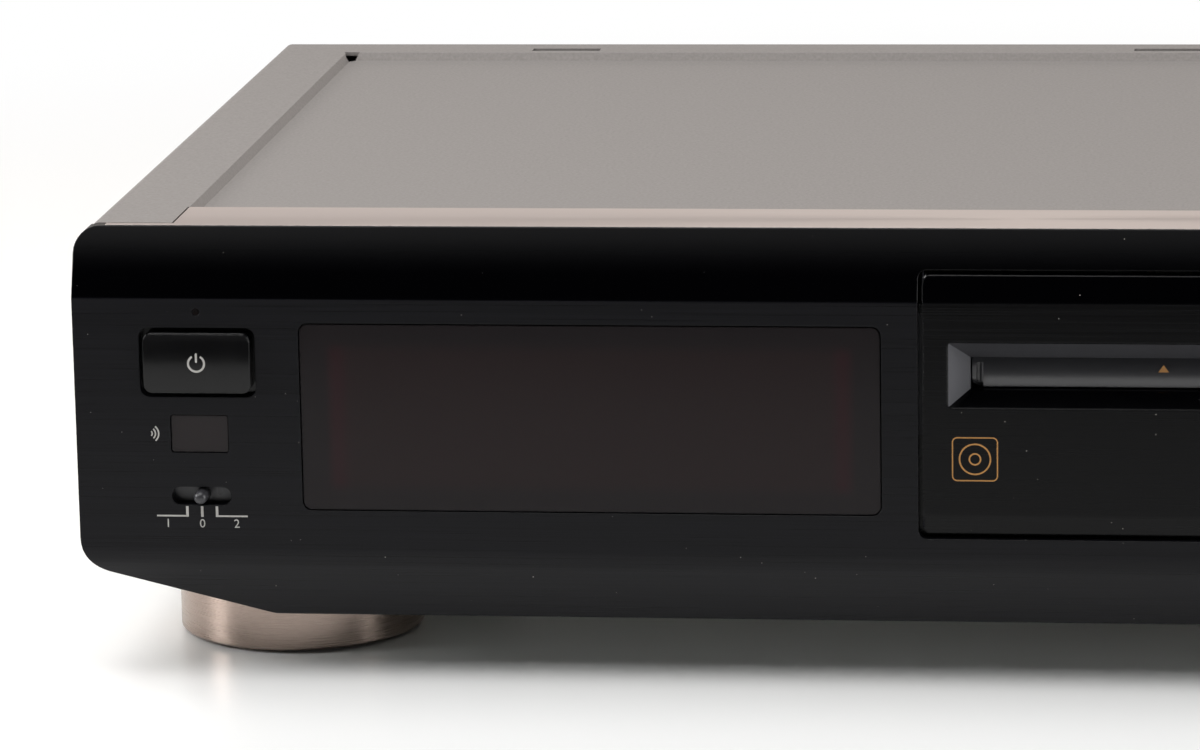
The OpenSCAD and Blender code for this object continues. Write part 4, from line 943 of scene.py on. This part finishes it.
    def print_keys(self, ink: bpy.types.Material) -> None:
        """Prints a mark on each transport key."""
        for node, mark in self.keys.items():
            x, z = middle(node)
            piece(node + "_mark", printed(mark, x, z, 3.4 * MM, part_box(node)[0].y), ink, node)

    def print_scales(self, ink: bpy.types.Material) -> None:
        """Prints the scales round the knobs and the mark over the phones jack."""
        solids = []
        for node, r, count, sweep in (("level_knob", 11.6, 11, 150), ("phones_knob", 7.4, 7, 150),
                                      ("selector_knob", 7.4, 3, 30)):
            x, z = middle(node)
            tick = inked(rounded_box(0.3 * MM, 1.2 * MM, 0.05 * MM, 2) + [x, z + (r + 0.6) * MM])
            solids += [tick.turned((x, z), float(a)) for a in np.linspace(-sweep, sweep, count)]
        x, z = middle("level_knob")
        solids += [figure(n, x + dx * MM, z + dz * MM, 2 * MM) for n, dx, dz in
                   (("0", -8.6, -13.8), ("10", 8.8, -13.8), ("5", 0, 14.2))]
        x, z = middle("selector_knob")
        solids += [figure(n, x + dx * MM, z + dz * MM, 1.9 * MM) for n, dx, dz in
                   (("1", -5.2, 8.6), ("2", 0, 9.6), ("3", 5.2, 8.6))]
        x, z = middle("phones_jack")
        solids.append(printed(Mark.PHONES, x, z + 9.6 * MM, 4 * MM))
        piece("scale_marks", joined(solids), ink, "deck")

    def swell_flap(self, flap: bpy.types.Material) -> float:
        """Lays the swelling skin on the flap, which leans back above its middle and tucks in below.

        Args:
            flap: The flap's finish.

        Returns:
            Y of the skin's front.
        """
        low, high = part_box("slot_flap")
        inset, swell, lean, fullest, thick = 4.6 * MM, 0.6 * MM, 1.1 * MM, 0.36, 1.2 * MM
        up = np.linspace(0, 1, 17)
        foot, head = low.z + 0.15 * MM, self.slot_top - 0.2 * MM
        z = foot + (head - foot) * up
        y = low.y - swell + lean * ((up - fullest) / (1 - fullest)) ** 2
        front = np.column_stack([y, z])
        back = np.column_stack([np.full(2, low.y + thick), z[[-1, 0]]])
        skin = carried(np.concatenate([front, back]), low.x + inset, high.x - inset)
        piece("flap_skin", skin, flap, "slot_flap")
        return float(y.min())

    def print_slot(self, gold: bpy.types.Material, flap_y: float) -> None:
        """Prints a disc in a rounded frame under the slot and an arrow on its flap.

        Args:
            gold: The gold ink.
            flap_y: Y of the flap's front.
        """
        x, z, half = -9.3 * MM, 54.15 * MM, INK / 2
        outer, inner = rounded_box(10.4 * MM, 10.2 * MM, 1.2 * MM), rounded_box(9.8 * MM, 9.6 * MM, 0.9 * MM)
        border = ring([(outer + [x, z], FACE_Y - half), (outer + [x, z], FACE_Y + half),
                       (inner + [x, z], FACE_Y + half), (inner + [x, z], FACE_Y - half)])
        piece("disc_mark", joined([border, printed(Mark.DISC, x, z, 7.4 * MM)]), gold, "deck")
        x, z = middle("slot_flap")
        piece("insert_mark", printed(Mark.INSERT, x, z, 2.4 * MM, flap_y, 0.12 * MM), gold, "slot_flap")


@dataclass
class Inside:
    """Boards, supply, loader and drive behind the face."""

    steel: Finish = ZincPlate("plated_mechanism_steel", "#b6babd", 0.3, 1.0)
    ground: Finish = BrushedMetal("ground_steel", "#b9bcc0", 0.16, 1.0, brushing=Brushing.ALONG_Y)
    turned: Finish = BrushedMetal("turned_steel", "#b4b7ba", 0.2, 1.0, brushing=Brushing.TURNED)
    board: Finish = Laminate("green_solder_resist", "#1d5a36", 0.42)
    power: Finish = Laminate("brown_paper_laminate", "#8a6a35", 0.55, track_mm=6.0)
    sleeve: Finish = Moulded("capacitor_sleeve_pvc", "#1a2440", 0.3, grain_mm=1, depth_mm=0.005)
    fins: Finish = BrushedMetal("black_anodised_fins", "#2c2c2f", 0.45, 1.0, brushing=Brushing.ROLLED)
    tube: Finish = Finish("display_tube_glass", "#22262a", 0.05)
    socket: Finish = Moulded("socket_pbt", "#1d1d1f", 0.4)
    cable: Finish = RibbedFilm("flat_cable_film", "#c9c9c6", 0.35)
    acetal: Finish = Moulded("natural_acetal", "#d6d1c3", 0.42, depth_mm=0.006)
    brass: Finish = BrushedMetal("cut_brass", "#c9a252", 0.25, 1.0, brushing=Brushing.TURNED)
    alloy: Finish = Moulded("die_cast_zinc", "#7d8186", 0.5, 1.0, grain_mm=0.5, depth_mm=0.03)

    def dress(self) -> None:
        """Gives the inner nodes their finishes."""
        low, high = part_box("transformer")
        core = IronStack("iron_laminations", "#3a3531", 0.45, 0.6,
                         middle=((low.x + high.x) / 2, (low.y + high.y) / 2, low.z))
        coat({
            core: ["transformer"], self.steel: ["mech_bracket", "mech_base", "disc_carrier", "control_pots"],
            self.ground: ["guide_rods"],
            self.turned: ["jog_shaft", "lead_screw", "turntable", "spindle_motor", "sled_motor",
                          "loading_motor"],
            self.board: ["main_board", "display_board", "key_board"], self.power: ["power_board"],
            self.sleeve: ["capacitors"], self.fins: ["heat_sink"], self.tube: ["display_tube"],
            self.socket: ["phones_jack", "line_sockets", "optical_sockets", "mains_inlet"],
            self.cable: ["flat_cable"], self.acetal: ["cam_slider", "loading_gear", "head_arm"],
            self.brass: ["motor_pinion"], self.alloy: ["optical_sled"]})


@dataclass
class BackFittings:
    """Metal sleeves and coloured insulators of the line sockets."""

    socket_x: float = 165 * MM
    spacing: float = 11 * MM
    rows: tuple[float, float] = (36.2 * MM, 54.2 * MM)
    nickel: Finish = BrushedMetal("nickel_plated_brass", "#b9b2a2", 0.18, 1.0, brushing=Brushing.TURNED)
    red: Finish = Moulded("red_insulator", "#9c1f1c", 0.4)
    white: Finish = Moulded("white_insulator", "#d9d7cf", 0.4)

    def build(self) -> None:
        """Builds the sleeves and the insulators."""
        nickel, red, white = self.nickel.build(), self.red.build(), self.white.build()
        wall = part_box("rear_panel")[1].y
        sleeve = np.array([[4.2, 0.05], [4.2, 7.4], [3.95, 7.62], [3.45, 7.62], [3.3, 7.4], [3.3, 6.9],
                           [3.6, 0.05]]) * MM
        shells = [lathe(sleeve + [0, wall], self.socket_x + s * self.spacing, z)
                  for s in (-1, 1) for z in self.rows]
        piece("socket_shells", joined(shells), nickel, "deck")
        core = np.array([[2.75, -0.5], [2.75, 6.8], [2.2, 7.0], [1.75, 7.0], [1.75, -0.5]]) * MM
        for name, side, material in (("red_insulators", 1, red), ("white_insulators", -1, white)):
            piece(name, joined([lathe(core + [0, wall], self.socket_x + side * self.spacing, z, 32)
                                for z in self.rows]), material, "deck")


# ---------- studio ----------


def sheet(name: str, low: tuple[float, float], high: tuple[float, float], z: float) -> bpy.types.Object:
    """Lays a flat rectangle that isn't part of the deck.

    Args:
        name: Name of the object.
        low: Its least X and Y.
        high: Its greatest X and Y.
        z: Its height.

    Returns:
        The new object.
    """
    mesh = bpy.data.meshes.new(name)
    mesh.from_pydata([(low[0], low[1], z), (high[0], low[1], z), (high[0], high[1], z), (low[0], high[1], z)],
                     [], [(0, 1, 2, 3)])
    obj = bpy.data.objects.new(name, mesh)
    bpy.context.scene.collection.objects.link(obj)
    return obj


@dataclass
class Studio:
    """Pale floor, soft lamps, a dim room and the camera of the photograph."""

    floor_colour: str = "#fafaf9"
    floor_half: float = 12.0
    card_half: float = 3.0
    card_near: float = -0.485
    card_far: float = -3.0
    room: float = 0.12
    room_front: float = 0.02
    sweep: float = 1.2
    sweep_colour: str = "#fff6ef"
    camera_place: tuple[float, float, float] = (0.04757, -1.33175, 0.33561)
    yaw: float = 6.743
    pitch: float = 12.297
    roll: float = -1.032
    focal_px: float = 5455.0
    sensor_mm: float = 36.0

    def build(self) -> None:
        """Builds the floor, the world, the lamps, the card and the camera."""
        self.lay_floor()
        self.fill_room()
        self.lamp("overhead_softbox", (-0.5, -0.17, 2.1), (-0.4, -0.1, 0.0), (2.3, 0.95), 38)
        self.lamp("left_softbox", (-1.2, -0.35, 0.5), (-0.2, -0.2, 0.0), (0.22, 0.5), 6)
        self.lamp("right_softbox", (1.1, -0.3, 0.4), (0.0, -0.1, 0.05), (0.5, 0.7), 7)
        self.lamp("front_left_softbox", (-0.8, -0.7, 1.0), (-0.25, -0.2, 0.05), (0.4, 0.3), 3.6)
        self.lay_flag()
        self.set_camera()

    def lay_floor(self) -> None:
        """Lays the floor: it fades to plain white away from the deck, for the camera and in mirrors."""
        half = self.floor_half
        floor = sheet("floor", (-half, -half), (half, half), 0.0)
        tree = Tree("satin_white_board")
        away = tree.add("VectorMath", {0: tree.place}, operation="LENGTH").outputs["Value"]
        far = tree.ramp(away, 0.4, 0.9, smooth=True)
        rays = tree.add("LightPath").outputs
        seen = tree.math("MAXIMUM", rays["Is Camera Ray"], rays["Is Glossy Ray"])
        tree.join(tree.shader, {"Base Color": linear(self.floor_colour), "Roughness": 0.28,
                                "Specular IOR Level": 0.4})
        white = tree.add("Emission", {"Color": (1, 1, 1, 1), "Strength": 1.0}).outputs[0]
        mix = tree.add("MixShader", {0: tree.math("MULTIPLY", far, seen), 1: tree.shader.outputs[0],
                                     2: white})
        tree.join(tree.tree.nodes["Material Output"], {"Surface": mix.outputs[0]})
        floor.data.materials.append(tree.material)

    def lay_flag(self) -> None:
        """Lays a black card on the floor in front. It shows in the deck's reflections and nowhere else."""
        card = sheet("black_card", (-self.card_half, self.card_far), (self.card_half, self.card_near), MM)
        tree = Tree("black_flocked_card")
        tree.join(tree.shader, {"Base Color": linear("#0a0a0a"), "Roughness": 0.9, "Specular IOR Level": 0.1})
        card.data.materials.append(tree.material)
        card.visible_camera = False
        card.visible_diffuse = False
        card.visible_shadow = False

    def fill_room(self) -> None:
        """Fills the world: the white sweep low behind the deck, a dim room round it, dark in front."""
        world = bpy.data.worlds.new("studio_room")
        world.use_nodes = True
        bpy.context.scene.world = world
        nodes = Nodes(world.node_tree)
        way = nodes.add("SeparateXYZ", {0: nodes.add("TexCoord").outputs["Generated"]}).outputs
        even = nodes.ramp(way["Y"], -0.75, -0.2, self.room_front, self.room, smooth=True)
        behind = nodes.ramp(way["Y"], 0.0, 0.5, 0.0, self.sweep, smooth=True)
        low = nodes.ramp(way["Z"], 0.25, 0.5, 1.0, 0.0, smooth=True)
        sweep = nodes.math("MULTIPLY", behind, low)
        level = nodes.math("MAXIMUM", even, sweep)
        tint = nodes.blend(sweep, (1, 1, 1, 1), linear(self.sweep_colour))
        nodes.join(world.node_tree.nodes["Background"], {"Color": tint, "Strength": level})

    def lamp(self, name: str, place: tuple[float, float, float], target: tuple[float, float, float],
             size: tuple[float, float], power: float) -> None:
        """Hangs a rectangular softbox that points at a target.

        Args:
            name: Name of the lamp.
            place: Where it hangs.
            target: What it points at.
            size: Its width and height.
            power: Its power in watts.
        """
        data = bpy.data.lights.new(name, "AREA")
        data.shape, data.size, data.size_y, data.energy = "RECTANGLE", *size, power
        lamp = bpy.data.objects.new(name, data)
        lamp.location = place
        lamp.rotation_euler = (Vector(target) - Vector(place)).to_track_quat("-Z", "Y").to_euler()
        bpy.context.scene.collection.objects.link(lamp)

    def set_camera(self) -> None:
        """Sets the camera from its place, its three angles and its focal length in photo pixels."""
        yaw, pitch, roll = (math.radians(a) for a in (self.yaw, self.pitch, self.roll))
        ahead = Vector((-math.sin(yaw) * math.cos(pitch), math.cos(yaw) * math.cos(pitch), -math.sin(pitch)))
        level = Vector((math.cos(yaw), math.sin(yaw), 0))
        up = level.cross(ahead)
        right = level * math.cos(roll) + up * math.sin(roll)
        top = up * math.cos(roll) - level * math.sin(roll)
        data = bpy.data.cameras.new("camera")
        data.sensor_width = self.sensor_mm
        data.lens = self.focal_px * self.sensor_mm / PHOTO_SIZE[0]
        data.clip_start, data.clip_end = 0.01, 50
        camera = bpy.data.objects.new("camera", data)
        camera.matrix_world = Matrix.Translation(self.camera_place) @ Matrix(
            (right, top, -ahead)).transposed().to_4x4()
        bpy.context.scene.collection.objects.link(camera)
        bpy.context.scene.camera = camera


def main() -> None:
    """Dresses the deck and builds the studio round it."""
    logging.basicConfig(level=logging.INFO, format="%(name)s: %(message)s")
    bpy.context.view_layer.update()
    bpy.context.scene.view_settings.view_transform = "Standard"
    Studio().build()
    Case().dress()
    FrontControls().dress()
    Inside().dress()
    BackFittings().build()


if __name__ == "__main__":
    main()
